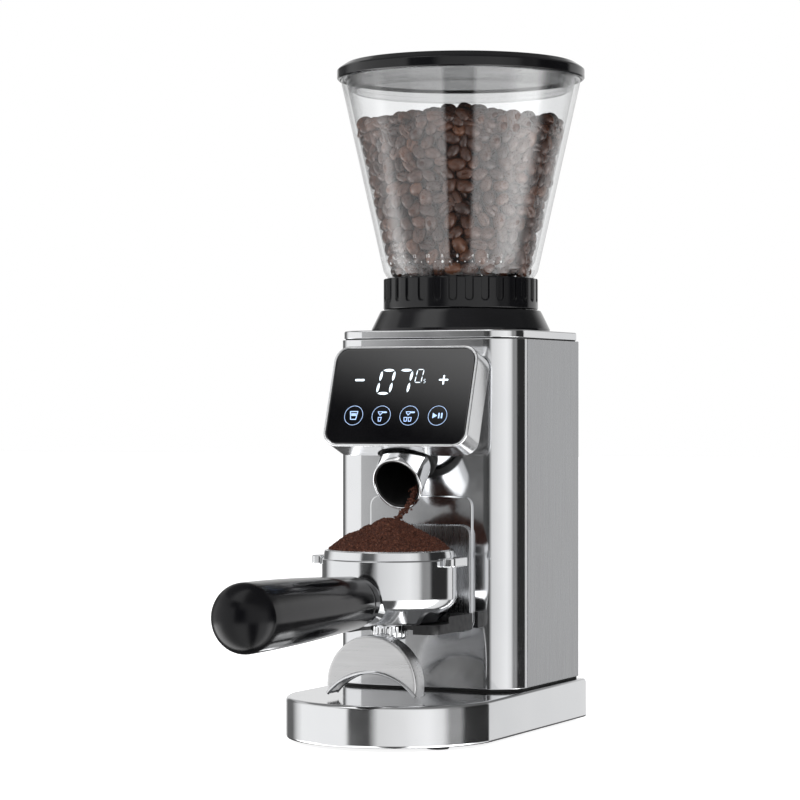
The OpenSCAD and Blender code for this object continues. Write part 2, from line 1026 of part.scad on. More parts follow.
// Hexagonal head that clamps the cone burr on its shaft
module burr_bolt() {
  color("#b0b3b6")
    at_axis()
      translate([0, 0, shaft_top]) cylinder(d = 13, h = 4, $fn = 6);
}

// Outer burr
module burr_ring() {
  mid_z = burr_low + 10.5;
  groove = 1.6;
  color("#7f8387")
    at_axis()
      difference() {
        rotate_extrude($fn = fine)
          polygon([
            [cone_r + burr_gap, burr_low], [cone_radius(mid_z) + burr_gap + 0.15, mid_z],
            [burr_ring_r - 6, burr_low + burr_h], [burr_ring_r, burr_low + burr_h], [burr_ring_r, burr_low]
          ]);
        for (a = [0:12:359]) {
          rotate([0, 0, a])
            translate([cone_r - 1.3, 0, burr_low + 14])
              rotate([0, 0, 45]) cube([groove, groove, 20], center = true);
        }
      }
}

// Threaded carrier that holds the outer burr and screws up and down in the chamber
module burr_carrier() {
  rim_low = 224;
  throat_r = 30.5;
  ledge_r = 26;
  ledge_top = burr_low + burr_h + 2;
  color("#b58a3c")
    at_axis()
      rotate_extrude($fn = fine)
        polygon([
          [burr_ring_r, carrier_low], [carrier_r, carrier_low], [carrier_r, rim_low], [thread_r, rim_low],
          [thread_r, carrier_high], [throat_r, carrier_high], [throat_r, ledge_top], [ledge_r, ledge_top],
          [ledge_r, burr_low + burr_h], [burr_ring_r, burr_low + burr_h]
        ]);
}

// ---- Grind-setting ring ----

module adjust_ring() {
  r = ring_d / 2;
  inner_r = thread_r + face_gap;
  skirt_r = 37.4;
  wall = 3.4;
  web = 4;
  color("#151515")
    at_axis()
      difference() {
        rotate_extrude($fn = fine)
          polygon([
            [inner_r, 226], [skirt_r, 226], [skirt_r, ring_low], [r - 0.8, ring_low], [r, ring_low + 0.8],
            [r, ring_top - 0.8], [r - 0.8, ring_top], [r - wall, ring_top], [r - wall, ring_low + web],
            [inner_r, ring_low + web]
          ]);
        for (i = [0:ring_flutes - 1]) {
          rotate([0, 0, (i + 0.5) * 360 / ring_flutes])
            translate([0, -r + flute_depth, 0])
              rotate([90, 0, 0])
                linear_extrude(5) {
                  translate([0, flute_low]) circle(d = flute_w, $fn = 32);
                  translate([-flute_w / 2, flute_low]) square([flute_w, ring_h]);
                }
        }
      }
}

// ---- Hopper ----

module hopper() {
  color([0.85, 0.88, 0.9, 0.35])
    at_axis()
      rotate_extrude($fn = fine)
        polygon([
          [floor_r - 1, hopper_low], [low_r - 3.9, hopper_low], [low_r - 2.6, hopper_low + 2],
          [low_r - 1.3, hopper_low + 5.4], [low_r, wall_low], [rim_r, wall_top], [rim_r - hopper_t, wall_top],
          [low_r - hopper_t, wall_low], [floor_r - 1, hopper_low + 4]
        ]);
}

// Black funnel that locks the hopper into the ring and leads the beans to the burrs
module hopper_neck() {
  top_r = ring_d / 2 - 3.4 - face_gap;
  tube_r = 24.5;
  wall = 2.5;
  low = 236;
  color("#141414")
    at_axis()
      rotate_extrude($fn = fine)
        polygon([
          [tube_r, low], [tube_r + wall, low], [tube_r + wall, ring_low + 5], [top_r, ring_low + 14],
          [top_r, hopper_low], [top_r - wall, hopper_low], [tube_r, ring_low + 7.5]
        ]);
}

// The hopper's load of beans, with a heaped top
module coffee_beans() {
  bean_top = 346;
  wall_r = low_r - hopper_t - bean_gap;
  color("#3a1d12")
    at_axis()
      rotate_extrude($fn = fine)
        polygon([
          [0, 237], [24, 237], [24, ring_low + 8], [floor_r - 3, hopper_low + 2],
          [floor_r - 2, hopper_low + 5], [wall_r, wall_low], [wall_r + wall_slope * (bean_top - wall_low), bean_top],
          [44, bean_top + 7], [20, bean_top + 12], [0, bean_top + 12]
        ]);
}

module lid() {
  r = lid_d / 2;
  color("#0f0f10")
    at_axis()
      translate([0, 0, wall_top])
        rotate_extrude($fn = fine)
          polygon([
            [0, 0.4], [rim_r + 0.4, 0.4], [rim_r + 0.4, -0.6], [r - 0.6, -0.6], [r, 0], [r, lid_h - 3.4],
            [r - 0.8, lid_h - 2.6], [r - 4.6, lid_h], [r - 12, lid_h], [r - 13.5, lid_h - lid_dish],
            [0, lid_h - lid_dish]
          ]);
}

// Ribbed seal under the lid
module lid_seal() {
  rib_pitch = 2.6;
  seal_r = rim_r - hopper_t - face_gap;
  color([0.75, 0.75, 0.75, 0.5])
    at_axis()
      translate([0, 0, wall_top + 0.4])
        rotate_extrude($fn = fine)
          polygon(concat(
            [[seal_r - 5, 0], [seal_r - 1, 0]],
            [for (i = [0:2], p = [[0, -0.6], [0, -1.6], [-1.6, -2]])
              [seal_r - wall_slope * rib_pitch * (i + 1) + p[0], -i * rib_pitch + p[1]]],
            [[seal_r - 5, -8.4]]
          ));
}

// ---- Portafilter ----

module at_bowl() {
  translate([0, bowl_y, 0]) children();
}

// Outer radius of the bowl along its lower curve, for an angle from the flat bottom
function bowl_curve(r, a) = [bowl_r - bowl_curve_r + r * sin(a), bowl_low + bowl_curve_r - r * cos(a)];

module portafilter_bowl() {
  inner_r = bowl_curve_r - bowl_t;
  color("#c8cbce")
    at_axis()
      difference() {
        union() {
          at_bowl()
            rotate_extrude($fn = fine)
              polygon(concat(
                [[8, bowl_low]],
                [for (a = [0:10:90]) bowl_curve(bowl_curve_r, a)],
                [[bowl_r, rim_z - rim_band], [rim_top_r, rim_z], [rim_top_r - 1.6, rim_z]],
                [[rim_top_r - 1.6, rim_z - rim_band]],
                [for (a = [90:-10:0]) bowl_curve(inner_r, a)],
                [[8, bowl_low + bowl_t]]
              ));
          difference() {
            // two locking lugs
            at_bowl() translate([-lug_tip, -lug_w / 2, lug_low]) cube([2 * lug_tip, lug_w, lug_h]);
            at_bowl() translate([0, 0, lug_low - 1]) cylinder(r = bowl_r - 1, h = lug_h + 2, $fn = fine);
          }
          difference() {
            // neck towards the handle
            along_y(ferrule_y, bowl_y - 20) translate([0, handle_z]) circle(neck_r);
            at_bowl() translate([0, 0, bowl_low]) cylinder(r = bowl_r - 1, h = 40, $fn = fine);
          }
        }
      }
}

module filter_basket() {
  lip_r = rim_top_r - 1.8;
  wall = 0.6;
  color("#b5b8bb")
    at_axis()
      at_bowl()
        rotate_extrude($fn = fine)
          polygon([
            [0, basket_low], [basket_r - 2.6, basket_low], [basket_r, basket_low + 3],
            [basket_r, rim_z - 1.2], [lip_r, rim_z - 1.2], [lip_r, rim_z], [basket_r - wall, rim_z],
            [basket_r - wall, basket_low + 3.2], [basket_r - 2.8, basket_low + wall],
            [0, basket_low + wall]
          ]);
}

module ground_coffee() {
  color("#3b1a10")
    at_axis()
      at_bowl()
        rotate_extrude($fn = fine)
          polygon([
            [0, basket_low + 1], [basket_r - 3, basket_low + 1], [basket_r - 0.8, basket_low + 4],
            [basket_r - 0.8, rim_z + 0.2], [33.6, rim_z + 0.2], [29, rim_z + 3.6], [18, rim_z + 11.5],
            [8, rim_z + coffee_h - 0.5], [0, rim_z + coffee_h]
          ]);
}

module handle_ferrule() {
  color("#2a2a2c")
    at_axis()
      translate([0, ferrule_y, handle_z])
        rotate([90, 0, 0]) cylinder(d = ferrule_d, h = ferrule_y - grip_start);
}

// Tapered grip with a domed end, turned about the handle's axis
module handle_grip() {
  start_r = 14.2;
  end_r = grip_d / 2;
  dome = 12;
  body_l = grip_l - dome;
  color("#101012")
    at_axis()
      translate([0, grip_start, handle_z])
        rotate([90, 0, 0])
          rotate_extrude()
            polygon(concat(
              [[0, 0], [start_r - 1.2, 0], [start_r, 2]],
              [for (i = [1:6]) [start_r + (end_r - start_r) * sin(i * 15), body_l * i / 6]],
              [for (a = [15:15:90]) [end_r * cos(a), body_l + dome * sin(a)]]
            ));
}

// Half-moon double spout that hangs from a round nut under the bowl
module double_spout() {
  neck_w = 14;
  neck_low = 50;
  outer_r = 26.8;
  outer_z = spout_top - outer_r;
  half = spout_w / 2;
  arch_r = (half * half + spout_arch * spout_arch) / (2 * spout_arch);
  arch_z = spout_low + spout_arch - arch_r;
  color("#d8dadc")
    at_axis()
      union() {
        difference() {
          moon(spout_t, outer_r, outer_z, arch_r, arch_z);
          moon(spout_t - 3, outer_r - 1.5, outer_z, arch_r - 2, arch_z);
        }
        difference() {
          translate([-neck_w / 2, spout_y + spout_t / 2, neck_low])
            cube([neck_w, bowl_y - spout_y - spout_t / 2 + 6, nut_low - neck_low]);
          at_bowl() translate([0, 0, neck_low + 2]) cylinder(r = nut_bore_r, h = 20);
        }
        difference() {
          at_bowl() translate([0, 0, nut_low]) cylinder(r = nut_r, h = bowl_low - nut_low);
          at_bowl() translate([0, 0, nut_low - 5]) cylinder(r = nut_bore_r, h = 20);
        }
      }
}

module moon(t, outer_r, outer_z, arch_r, arch_z) {
  along_y(spout_y - t / 2, spout_y + t / 2)
    difference() {
      intersection() {
        translate([0, outer_z]) circle(outer_r);
        translate([-50, spout_low - 3]) square([100, 60]);
      }
      translate([0, arch_z]) circle(arch_r);
    }
}

// ---- Boards ----

// Board across the back of the column, with a relay, a transformer and a processor
module control_board() {
  face_y = 38;
  color("#1f5a3a")
    at_axis()
      union() {
        translate([-38, face_y, 58]) cube([76, board_t, 82]);
        translate([-30, face_y - 7, 66]) cube([18, 7, 14]);
        translate([4, face_y - 5, 66]) cube([26, 5, 20]);
        translate([-20, face_y - 4, 100]) cube([34, 4, 24]);
      }
}

// Board on the left wall, with a filter choke and a capacitor
module power_board() {
  left = 3.2 - column_half;
  face_x = left + board_t;
  color("#2b6b45")
    at_axis()
      union() {
        translate([left, -18, 58]) cube([board_t, 36, 70]);
        translate([face_x, -12, 66]) cube([12, 22, 16]);
        translate([face_x, -10, 92]) cube([16, 10, 24]);
      }
}

base_shell();
base_plate();
rubber_feet();
base_screws();
plinth_gasket();
chassis_frame();
front_shell();
rear_cover();
rear_screws();
cord_gland();
top_gasket();
top_plate();
hopper_collar();
display_housing();
display_bracket();
display_glass();
display_board();
display_screws();
chute_tube();
chute_liner();
chute_collar();
outlet_duct();
dock_plate();
cradle_studs();
grind_chamber();
shaft_bearings();
motor_can();
motor_end_cap();
motor_magnets();
gearbox_case();
gearbox_cover();
idler_axle();
control_board();
power_board();
motor_rotor();
motor_pinion();
cooling_fan();
idler_gear();
drive_shaft();
output_gear();
impeller();
cone_burr();
burr_bolt();
adjust_ring();
burr_carrier();
burr_ring();
hopper();
hopper_neck();
coffee_beans();
lid();
lid_seal();
cradle_plate();
cradle_fork();
portafilter_bowl();
filter_basket();
ground_coffee();
handle_ferrule();
handle_grip();
double_spout();
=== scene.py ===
import math
import random

import bmesh
import bpy
import numpy as np
from mathutils import Euler, Matrix, Vector


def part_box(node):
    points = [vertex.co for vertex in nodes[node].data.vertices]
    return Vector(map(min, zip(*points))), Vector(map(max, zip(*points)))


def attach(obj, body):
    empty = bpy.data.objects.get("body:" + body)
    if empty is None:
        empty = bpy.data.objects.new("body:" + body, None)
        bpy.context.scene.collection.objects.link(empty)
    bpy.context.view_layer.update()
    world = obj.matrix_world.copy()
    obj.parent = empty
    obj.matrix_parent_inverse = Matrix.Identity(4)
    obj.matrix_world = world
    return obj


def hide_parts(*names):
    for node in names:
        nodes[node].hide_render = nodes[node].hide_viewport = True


# Looks of a burr coffee grinder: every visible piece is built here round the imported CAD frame.
# Lengths are millimetres, measured in the frame; mesh_piece() turns them into metres.

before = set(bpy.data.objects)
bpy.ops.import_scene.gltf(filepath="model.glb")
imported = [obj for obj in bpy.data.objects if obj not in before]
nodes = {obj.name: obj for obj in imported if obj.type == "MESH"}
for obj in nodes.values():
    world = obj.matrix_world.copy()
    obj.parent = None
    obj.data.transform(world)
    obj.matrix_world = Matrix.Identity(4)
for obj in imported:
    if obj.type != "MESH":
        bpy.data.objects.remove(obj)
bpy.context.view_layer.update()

MM = 0.001
SHARP = math.radians(32)         # edges steeper than this stay sharp
TAU = 2 * math.pi


def box(node):
    """Lowest and highest corner of a CAD node, in millimetres."""
    low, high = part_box(node)
    return low / MM, high / MM


lid_low, lid_high = box("lid")
AXIS = Vector(((lid_low.x + lid_high.x) / 2, (lid_low.y + lid_high.y) / 2, 0))


# ---------------------------------------------------------------- materials

class Nodes:
    """A material's node tree, written as short calls."""

    def __init__(self, name):
        self.material = bpy.data.materials.new(name)
        self.material.use_nodes = True
        self.tree = self.material.node_tree
        self.shader = self.tree.nodes["Principled BSDF"]
        self.output = self.tree.nodes["Material Output"]

    def add(self, kind, **settings):
        node = self.tree.nodes.new(kind)
        for key, value in settings.items():
            setattr(node, key, value)
        return node

    def link(self, source, target):
        self.tree.links.new(source, target)

    def set(self, **values):
        for key, value in values.items():
            self.shader.inputs[key.replace("_", " ")].default_value = value

    def feed(self, **sources):
        """Links each source to the shader socket of that name."""
        for key, source in sources.items():
            self.link(source, self.shader.inputs[key.replace("_", " ")])

    def place(self, scale=(1, 1, 1)):
        """Object coordinates in metres, stretched by scale."""
        coords = self.add("ShaderNodeTexCoord")
        mapping = self.add("ShaderNodeMapping")
        mapping.inputs["Scale"].default_value = scale
        self.link(coords.outputs["Object"], mapping.inputs["Vector"])
        return mapping.outputs["Vector"]

    def noise(self, scale, detail=3.0, rough=0.5, stretch=(1, 1, 1)):
        node = self.add("ShaderNodeTexNoise")
        node.inputs["Scale"].default_value = scale
        node.inputs["Detail"].default_value = detail
        node.inputs["Roughness"].default_value = rough
        self.link(self.place(stretch), node.inputs["Vector"])
        return node.outputs["Fac"]

    def spread(self, source, low, high, start=0.35, stop=0.65):
        """source mapped from start..stop to low..high."""
        node = self.add("ShaderNodeMapRange")
        for key, value in (("From Min", start), ("From Max", stop), ("To Min", low), ("To Max", high)):
            node.inputs[key].default_value = value
        self.link(source, node.inputs["Value"])
        return node.outputs["Result"]

    def ramp(self, source, *stops):
        node = self.add("ShaderNodeValToRGB")
        marks = node.color_ramp.elements
        while len(marks) < len(stops):
            marks.new(0.5)
        for mark, (place, colour) in zip(marks, stops):
            mark.position = place
            mark.color = (*colour, 1)
        self.link(source, node.inputs["Fac"])
        return node.outputs["Color"]

    def bump(self, height, strength, distance):
        node = self.add("ShaderNodeBump")
        node.inputs["Strength"].default_value = strength
        node.inputs["Distance"].default_value = distance * MM
        self.link(height, node.inputs["Height"])
        self.feed(Normal=node.outputs["Normal"])


def polished_steel():
    """Mirror-polished stainless steel with faint polishing lines and smudges."""
    n = Nodes("polished_steel")
    n.set(Metallic=1.0)
    tint = n.ramp(n.noise(14, 4), (0.3, (0.70, 0.71, 0.725)), (0.7, (0.76, 0.765, 0.775)))
    n.feed(Base_Color=tint)
    n.feed(Roughness=n.spread(n.noise(35, 6, 0.6), 0.075, 0.135))
    n.bump(n.noise(260, 2, 0.5, (1, 1, 0.04)), 0.05, 0.02)
    return n.material


def satin_steel(name, stretch, colour, rough):
    """Brushed steel whose fine lines run along the axis that stretch makes short."""
    n = Nodes(name)
    n.set(Metallic=1.0)
    lines = n.noise(900, 3, 0.6, stretch)
    light = tuple(min(1, c * 1.03) for c in colour)
    dark = tuple(c * 0.97 for c in colour)
    n.feed(Base_Color=n.ramp(lines, (0.3, dark), (0.7, light)))
    n.feed(Roughness=n.spread(lines, rough - 0.03, rough + 0.04))
    n.bump(lines, 0.06, 0.004)
    return n.material


def cast_metal(name, colour, rough, grain=180, depth=0.05, metallic=1.0):
    """Plain metal with a fine grain and slightly mottled colour."""
    n = Nodes(name)
    n.set(Metallic=metallic)
    cloud = n.noise(grain / 6, 4)
    light = tuple(min(1, c * 1.15) for c in colour)
    dark = tuple(c * 0.82 for c in colour)
    n.feed(Base_Color=n.ramp(cloud, (0.3, dark), (0.7, light)))
    n.feed(Roughness=n.spread(n.noise(grain, 5), rough - 0.07, rough + 0.07))
    n.bump(n.noise(grain * 4, 3), 0.15, depth)
    return n.material


def gloss_black(name, rough=0.09, colour=(0.006, 0.006, 0.007), ior=1.40):
    """Glossy moulded black plastic with faint swirls from wiping."""
    n = Nodes(name)
    n.set(IOR=ior)
    tint = n.ramp(n.noise(40, 3), (0.3, colour), (0.7, tuple(c * 1.6 for c in colour)))
    n.feed(Base_Color=tint)
    n.feed(Roughness=n.spread(n.noise(90, 6, 0.65), rough - 0.03, rough + 0.05))
    n.bump(n.noise(60, 2), 0.03, 0.03)
    return n.material


def matte_black(name, rough=0.42, colour=(0.014, 0.014, 0.015), grain=1800):
    """Black plastic or rubber with a fine spark-eroded texture."""
    n = Nodes(name)
    tint = n.ramp(n.noise(55, 4), (0.3, tuple(c * 0.8 for c in colour)), (0.7, tuple(c * 1.5 for c in colour)))
    n.feed(Base_Color=tint)
    n.feed(Roughness=n.spread(n.noise(300, 4), rough - 0.06, rough + 0.08))
    n.bump(n.noise(grain, 2), 0.25, 0.03)
    return n.material


def clear_plastic(name, tint, gloss_rough, straight_on):
    """A clear moulded wall: light goes straight through, and each face mirrors the studio, more at a glance."""
    n = Nodes(name)
    n.tree.nodes.remove(n.shader)
    through = n.add("ShaderNodeBsdfTransparent")
    through.inputs["Color"].default_value = (*tint, 1)
    mirror = n.add("ShaderNodeBsdfGlossy")
    n.link(n.spread(n.noise(120, 4), gloss_rough, gloss_rough + 0.03), mirror.inputs["Roughness"])
    facing = n.add("ShaderNodeLayerWeight")
    facing.inputs["Blend"].default_value = 0.5
    steep = n.add("ShaderNodeMath", operation="POWER")
    steep.inputs[1].default_value = 5
    n.link(facing.outputs["Facing"], steep.inputs[0])
    share = n.spread(steep.outputs[0], straight_on, 1.0, 0.0, 1.0)
    ripple = n.add("ShaderNodeBump")
    ripple.inputs["Strength"].default_value = 0.04
    ripple.inputs["Distance"].default_value = 0.05 * MM
    n.link(n.noise(45, 2), ripple.inputs["Height"])
    n.link(ripple.outputs["Normal"], mirror.inputs["Normal"])
    mix = n.add("ShaderNodeMixShader")
    n.link(share, mix.inputs["Fac"])
    n.link(through.outputs["BSDF"], mix.inputs[1])
    n.link(mirror.outputs["BSDF"], mix.inputs[2])
    n.link(mix.outputs["Shader"], n.output.inputs["Surface"])
    return n.material


def touch_glass():
    """Black printed glass of a touch panel."""
    n = Nodes("touch_glass")
    n.set(IOR=1.52, Coat_Weight=0.5, Coat_Roughness=0.02)
    tint = n.ramp(n.noise(30, 2), (0.3, (0.004, 0.004, 0.005)), (0.7, (0.007, 0.007, 0.008)))
    n.feed(Base_Color=tint)
    n.feed(Roughness=n.spread(n.noise(150, 5, 0.6), 0.03, 0.05))
    return n.material


def glowing_print(name, colour, strength):
    """Lit display segments, a little uneven from the lamps behind them."""
    n = Nodes(name)
    n.set(Roughness=0.4, Emission_Strength=strength)
    dim = tuple(c * 0.85 for c in colour)
    lit = n.ramp(n.noise(420, 2), (0.3, dim), (0.7, colour))
    n.feed(Emission_Color=lit, Base_Color=lit)
    return n.material


def white_print():
    """White screen-printed ink with slightly uneven cover and a faint painted glow of its own."""
    n = Nodes("white_print")
    tint = n.ramp(n.noise(900, 3), (0.3, (0.72, 0.72, 0.72)), (0.7, (0.9, 0.9, 0.9)))
    n.feed(Base_Color=tint, Emission_Color=tint)
    # painted glow: the ink's own colour also emits a little light, so the print stays bright in shade
    n.set(Roughness=0.5, Emission_Strength=0.25)
    return n.material


def roasted_bean():
    """Oily roasted bean skin: brown with darker blotches, a different shade on each bean."""
    n = Nodes("roasted_bean")
    shade = n.add("ShaderNodeAttribute", attribute_name="shade")
    cloud = n.noise(330, 5, 0.6)
    both = n.add("ShaderNodeMath", operation="ADD")
    n.link(n.spread(cloud, -0.16, 0.16, 0.3, 0.7), both.inputs[0])
    n.link(shade.outputs["Fac"], both.inputs[1])
    tint = n.ramp(
        both.outputs[0], (0.0, (0.018, 0.006, 0.003)), (0.35, (0.055, 0.018, 0.008)),
        (0.7, (0.12, 0.042, 0.018)), (1.0, (0.21, 0.085, 0.04)),
    )
    n.feed(Base_Color=tint)
    n.feed(Roughness=n.spread(n.noise(500, 4), 0.24, 0.48))
    n.set(Coat_Weight=0.25, Coat_Roughness=0.22, IOR=1.5)
    n.bump(n.noise(1100, 4), 0.35, 0.12)
    return n.material


def coffee_grounds():
    """Freshly ground coffee: dark brown grains with lighter flecks."""
    n = Nodes("coffee_grounds")
    grains = n.add("ShaderNodeTexVoronoi")
    grains.inputs["Scale"].default_value = 1500
    n.link(n.place(), grains.inputs["Vector"])
    tint = n.ramp(
        grains.outputs["Color"], (0.0, (0.028, 0.008, 0.004)), (0.45, (0.075, 0.022, 0.011)),
        (0.8, (0.14, 0.045, 0.024)), (1.0, (0.26, 0.11, 0.06)),
    )
    n.feed(Base_Color=tint)
    n.feed(Roughness=n.spread(n.noise(700, 3), 0.6, 0.85))
    n.bump(grains.outputs["Distance"], 0.7, 0.25)
    return n.material


def circuit_board():
    """Green solder mask with darker tracks."""
    n = Nodes("circuit_board")
    tracks = n.add("ShaderNodeTexBrick")
    for key, value in (("Scale", 160), ("Color1", (0.012, 0.10, 0.045, 1)), ("Color2", (0.02, 0.14, 0.06, 1)),
                       ("Mortar", (0.006, 0.05, 0.02, 1))):
        tracks.inputs[key].default_value = value
    n.link(n.place(), tracks.inputs["Vector"])
    n.feed(Base_Color=tracks.outputs["Color"])
    n.feed(Roughness=n.spread(n.noise(300, 3), 0.3, 0.5))
    return n.material


STEEL = polished_steel()
SIDE_STEEL = satin_steel("side_steel", (1, 1, 0.02), (0.40, 0.405, 0.415), 0.27)
SPOUT_STEEL = satin_steel("spout_steel", (0.04, 1, 1), (0.75, 0.75, 0.755), 0.30)
HOUSING_METAL = satin_steel("housing_metal", (0.03, 1, 1), (0.74, 0.745, 0.755), 0.20)
BASKET_STEEL = satin_steel("basket_steel", (1, 1, 0.03), (0.66, 0.66, 0.67), 0.25)
TOOL_STEEL = cast_metal("tool_steel", (0.42, 0.43, 0.45), 0.32)
ZINC = cast_metal("zinc_screws", (0.60, 0.62, 0.64), 0.28)
FRAME_STEEL = cast_metal("frame_steel", (0.30, 0.31, 0.33), 0.42)
ALLOY = cast_metal("cast_alloy", (0.40, 0.41, 0.43), 0.48, 120, 0.12)
BRASS = cast_metal("gear_brass", (0.70, 0.50, 0.20), 0.28)
COPPER = cast_metal("copper_rotor", (0.62, 0.30, 0.14), 0.35, 400, 0.1)
NYLON = cast_metal("gear_nylon", (0.80, 0.77, 0.66), 0.45, 200, 0.04, 0.0)
GLOSS = gloss_black("gloss_black")
GRIP = gloss_black("grip_black", 0.11, (0.004, 0.004, 0.005), 1.33)
GRIP_END = gloss_black("grip_end_black", 0.22, (0.003, 0.003, 0.004), 1.30)
MATTE = matte_black("matte_black", 0.42, (0.008, 0.008, 0.009))
LINER = matte_black("liner_black", 0.36, (0.006, 0.006, 0.006))
RUBBER = matte_black("black_rubber", 0.68, (0.012, 0.012, 0.012), 900)
CLEAR = clear_plastic("clear_plastic", (0.985, 0.988, 0.99), 0.0, 0.055)
SILICONE = clear_plastic("silicone_seal", (0.86, 0.86, 0.86), 0.15, 0.03)
GLASS = touch_glass()
GLOW = glowing_print("lit_segments", (0.80, 0.91, 1.0), 1.15)
GLOW_DIM = glowing_print("lit_icons", (0.42, 0.58, 0.88), 1.0)
# white print of the hopper scale, with a faint painted glow
INK_WITH_PAINTED_GLOW = white_print()
BEAN = roasted_bean()
GROUNDS = coffee_grounds()
BOARD = circuit_board()


# ---------------------------------------------------------------- mesh tools

def quarter(steps):
    """Angles from 0 to a quarter turn."""
    return [math.pi / 2 * k / steps for k in range(steps + 1)]


def circle(radius, z, count):
    """A closed ring of points round the local Z axis."""
    return [(radius * math.cos(TAU * i / count), radius * math.sin(TAU * i / count), z) for i in range(count)]


def mesh_piece(name, verts, faces, material, place=None, recalc=True, sharp=SHARP):
    """A mesh object from points in millimetres, placed by a matrix in millimetres."""
    points = [Vector(v) for v in verts]
    if place is not None:
        points = [place @ p for p in points]
    mesh = bpy.data.meshes.new(name)
    mesh.from_pydata([p * MM for p in points], [], faces)
    if recalc:
        work = bmesh.new()
        work.from_mesh(mesh)
        bmesh.ops.remove_doubles(work, verts=work.verts, dist=1e-7)
        bmesh.ops.recalc_face_normals(work, faces=work.faces)
        work.to_mesh(mesh)
        work.free()
    mesh.polygons.foreach_set("use_smooth", [True] * len(mesh.polygons))
    mesh.set_sharp_from_angle(angle=sharp)
    mesh.materials.append(material)
    piece = bpy.data.objects.new(name, mesh)
    bpy.context.scene.collection.objects.link(piece)
    return piece


def finish_piece(piece, body, slot, *replaced):
    """Rides the piece on a body and hides the CAD nodes that it stands in for; slot is not used."""
    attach(piece, body)
    if replaced:
        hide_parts(*replaced)


def join(name, pieces):
    """One object from several mesh objects, each with one material."""
    work = bmesh.new()
    materials = []
    for piece in pieces:
        own = piece.data.materials[0]
        if own not in materials:
            materials.append(own)
        before = len(work.faces)
        work.from_mesh(piece.data)
        work.faces.ensure_lookup_table()
        for face in work.faces[before:]:
            face.material_index = materials.index(own)
    mesh = bpy.data.meshes.new(name)
    work.to_mesh(mesh)
    work.free()
    for own in materials:
        mesh.materials.append(own)
    for piece in pieces:
        old = piece.data
        bpy.data.objects.remove(piece)
        bpy.data.meshes.remove(old)
    joined = bpy.data.objects.new(name, mesh)
    bpy.context.scene.collection.objects.link(joined)
    return joined


def cut(piece, cutter):
    """piece minus cutter, which is used up."""
    change = piece.modifiers.new("cut", "BOOLEAN")
    change.operation = "DIFFERENCE"
    change.solver = "EXACT"
    change.object = cutter
    bpy.context.view_layer.update()
    whole = piece.evaluated_get(bpy.context.evaluated_depsgraph_get())
    mesh = bpy.data.meshes.new_from_object(whole)
    piece.modifiers.clear()
    old = piece.data
    piece.data = mesh
    bpy.data.meshes.remove(old)
    bpy.data.objects.remove(cutter)
    mesh.polygons.foreach_set("use_smooth", [True] * len(mesh.polygons))
    mesh.set_sharp_from_angle(angle=SHARP)


SUPPORT = 0.35                   # a loop this far from a rounding keeps the flat beside it flat


def rounded_path(corners, closed=True, steps=8):
    """Points along a polygon with corners (x, y, radius); a support point sits beside each rounding."""
    count = len(corners)
    spots = [Vector(corner[:2]) for corner in corners]

    def reach_at(i):
        """How far from its corner a rounding starts."""
        if corners[i][2] <= 1e-6 or (not closed and i in (0, count - 1)):
            return 0.0
        angle = (spots[i - 1] - spots[i]).angle(spots[(i + 1) % count] - spots[i], math.pi)
        return corners[i][2] / math.tan(angle / 2) if angle < math.pi - 1e-4 else 0.0

    reaches = [reach_at(i) for i in range(count)]
    path = []
    for i, here in enumerate(spots):
        radius, reach = corners[i][2], reaches[i]
        if not reach:
            path.append(here)
            continue
        before = spots[i - 1] - here
        after = spots[(i + 1) % count] - here
        angle = before.angle(after, math.pi)
        start = here + before.normalized() * reach
        stop = here + after.normalized() * reach
        middle = here + (before.normalized() + after.normalized()).normalized() * (radius / math.sin(angle / 2))
        if before.length - reach - reaches[i - 1] > 3 * SUPPORT:
            path.append(here + before.normalized() * (reach + SUPPORT))
        first = (start - middle).angle_signed(stop - middle)
        for k in range(steps + 1):
            turn = Matrix.Rotation(-first * k / steps, 2)
            path.append(middle + turn @ (start - middle))
        if after.length - reach - reaches[(i + 1) % count] > 3 * SUPPORT:
            path.append(here + after.normalized() * (reach + SUPPORT))
    return path


def inset_corners(corners, inset):
    """The polygon, counterclockwise, with each side moved in by inset and each rounding concentric."""
    count = len(corners)
    moved = []
    for i, (x, y, radius) in enumerate(corners):
        here = Vector((x, y))
        before = (here - Vector(corners[i - 1][:2])).normalized()
        after = (Vector(corners[(i + 1) % count][:2]) - here).normalized()
        n1 = Vector((-before.y, before.x))
        n2 = Vector((-after.y, after.x))
        shift = (n1 + n2) / (1 + n1.dot(n2)) * inset
        turn = before.x * after.y - before.y * after.x
        moved.append((x + shift.x, y + shift.y, max(radius - inset * (1 if turn > 0 else -1), 0.01)))
    return moved


def edge_levels(low, high, r_low, r_high, steps=5):
    """(height, inset) pairs of a wall from low to high with rounded edges."""
    turns = quarter(steps) if r_low else [math.pi / 2]
    levels = [(low + r_low * (1 - math.cos(a)), r_low * (1 - math.sin(a))) for a in turns]
    if high - low > r_low + r_high + 3 * SUPPORT:
        levels.append((low + r_low + SUPPORT, 0.0))
        levels.append((high - r_high - SUPPORT, 0.0))
    turns = quarter(steps) if r_high else [0.0]
    return levels + [(high - r_high * (1 - math.sin(a)), r_high * (1 - math.cos(a))) for a in turns]


def rings_to_mesh(rings, cap_low=True, cap_high=True, loop=False):
    """Vertices and quads that join closed rings of equal length."""
    count = len(rings[0])
    verts = [p for ring in rings for p in ring]
    faces = []
    for j in range(len(rings) if loop else len(rings) - 1):
        a, b = j * count, ((j + 1) % len(rings)) * count
        for i in range(count):
            k = (i + 1) % count
            faces.append((a + i, a + k, b + k, b + i))
    if cap_low and not loop:
        faces.append(tuple(range(count - 1, -1, -1)))
    if cap_high and not loop:
        last = (len(rings) - 1) * count
        faces.append(tuple(range(last, last + count)))
    return verts, faces


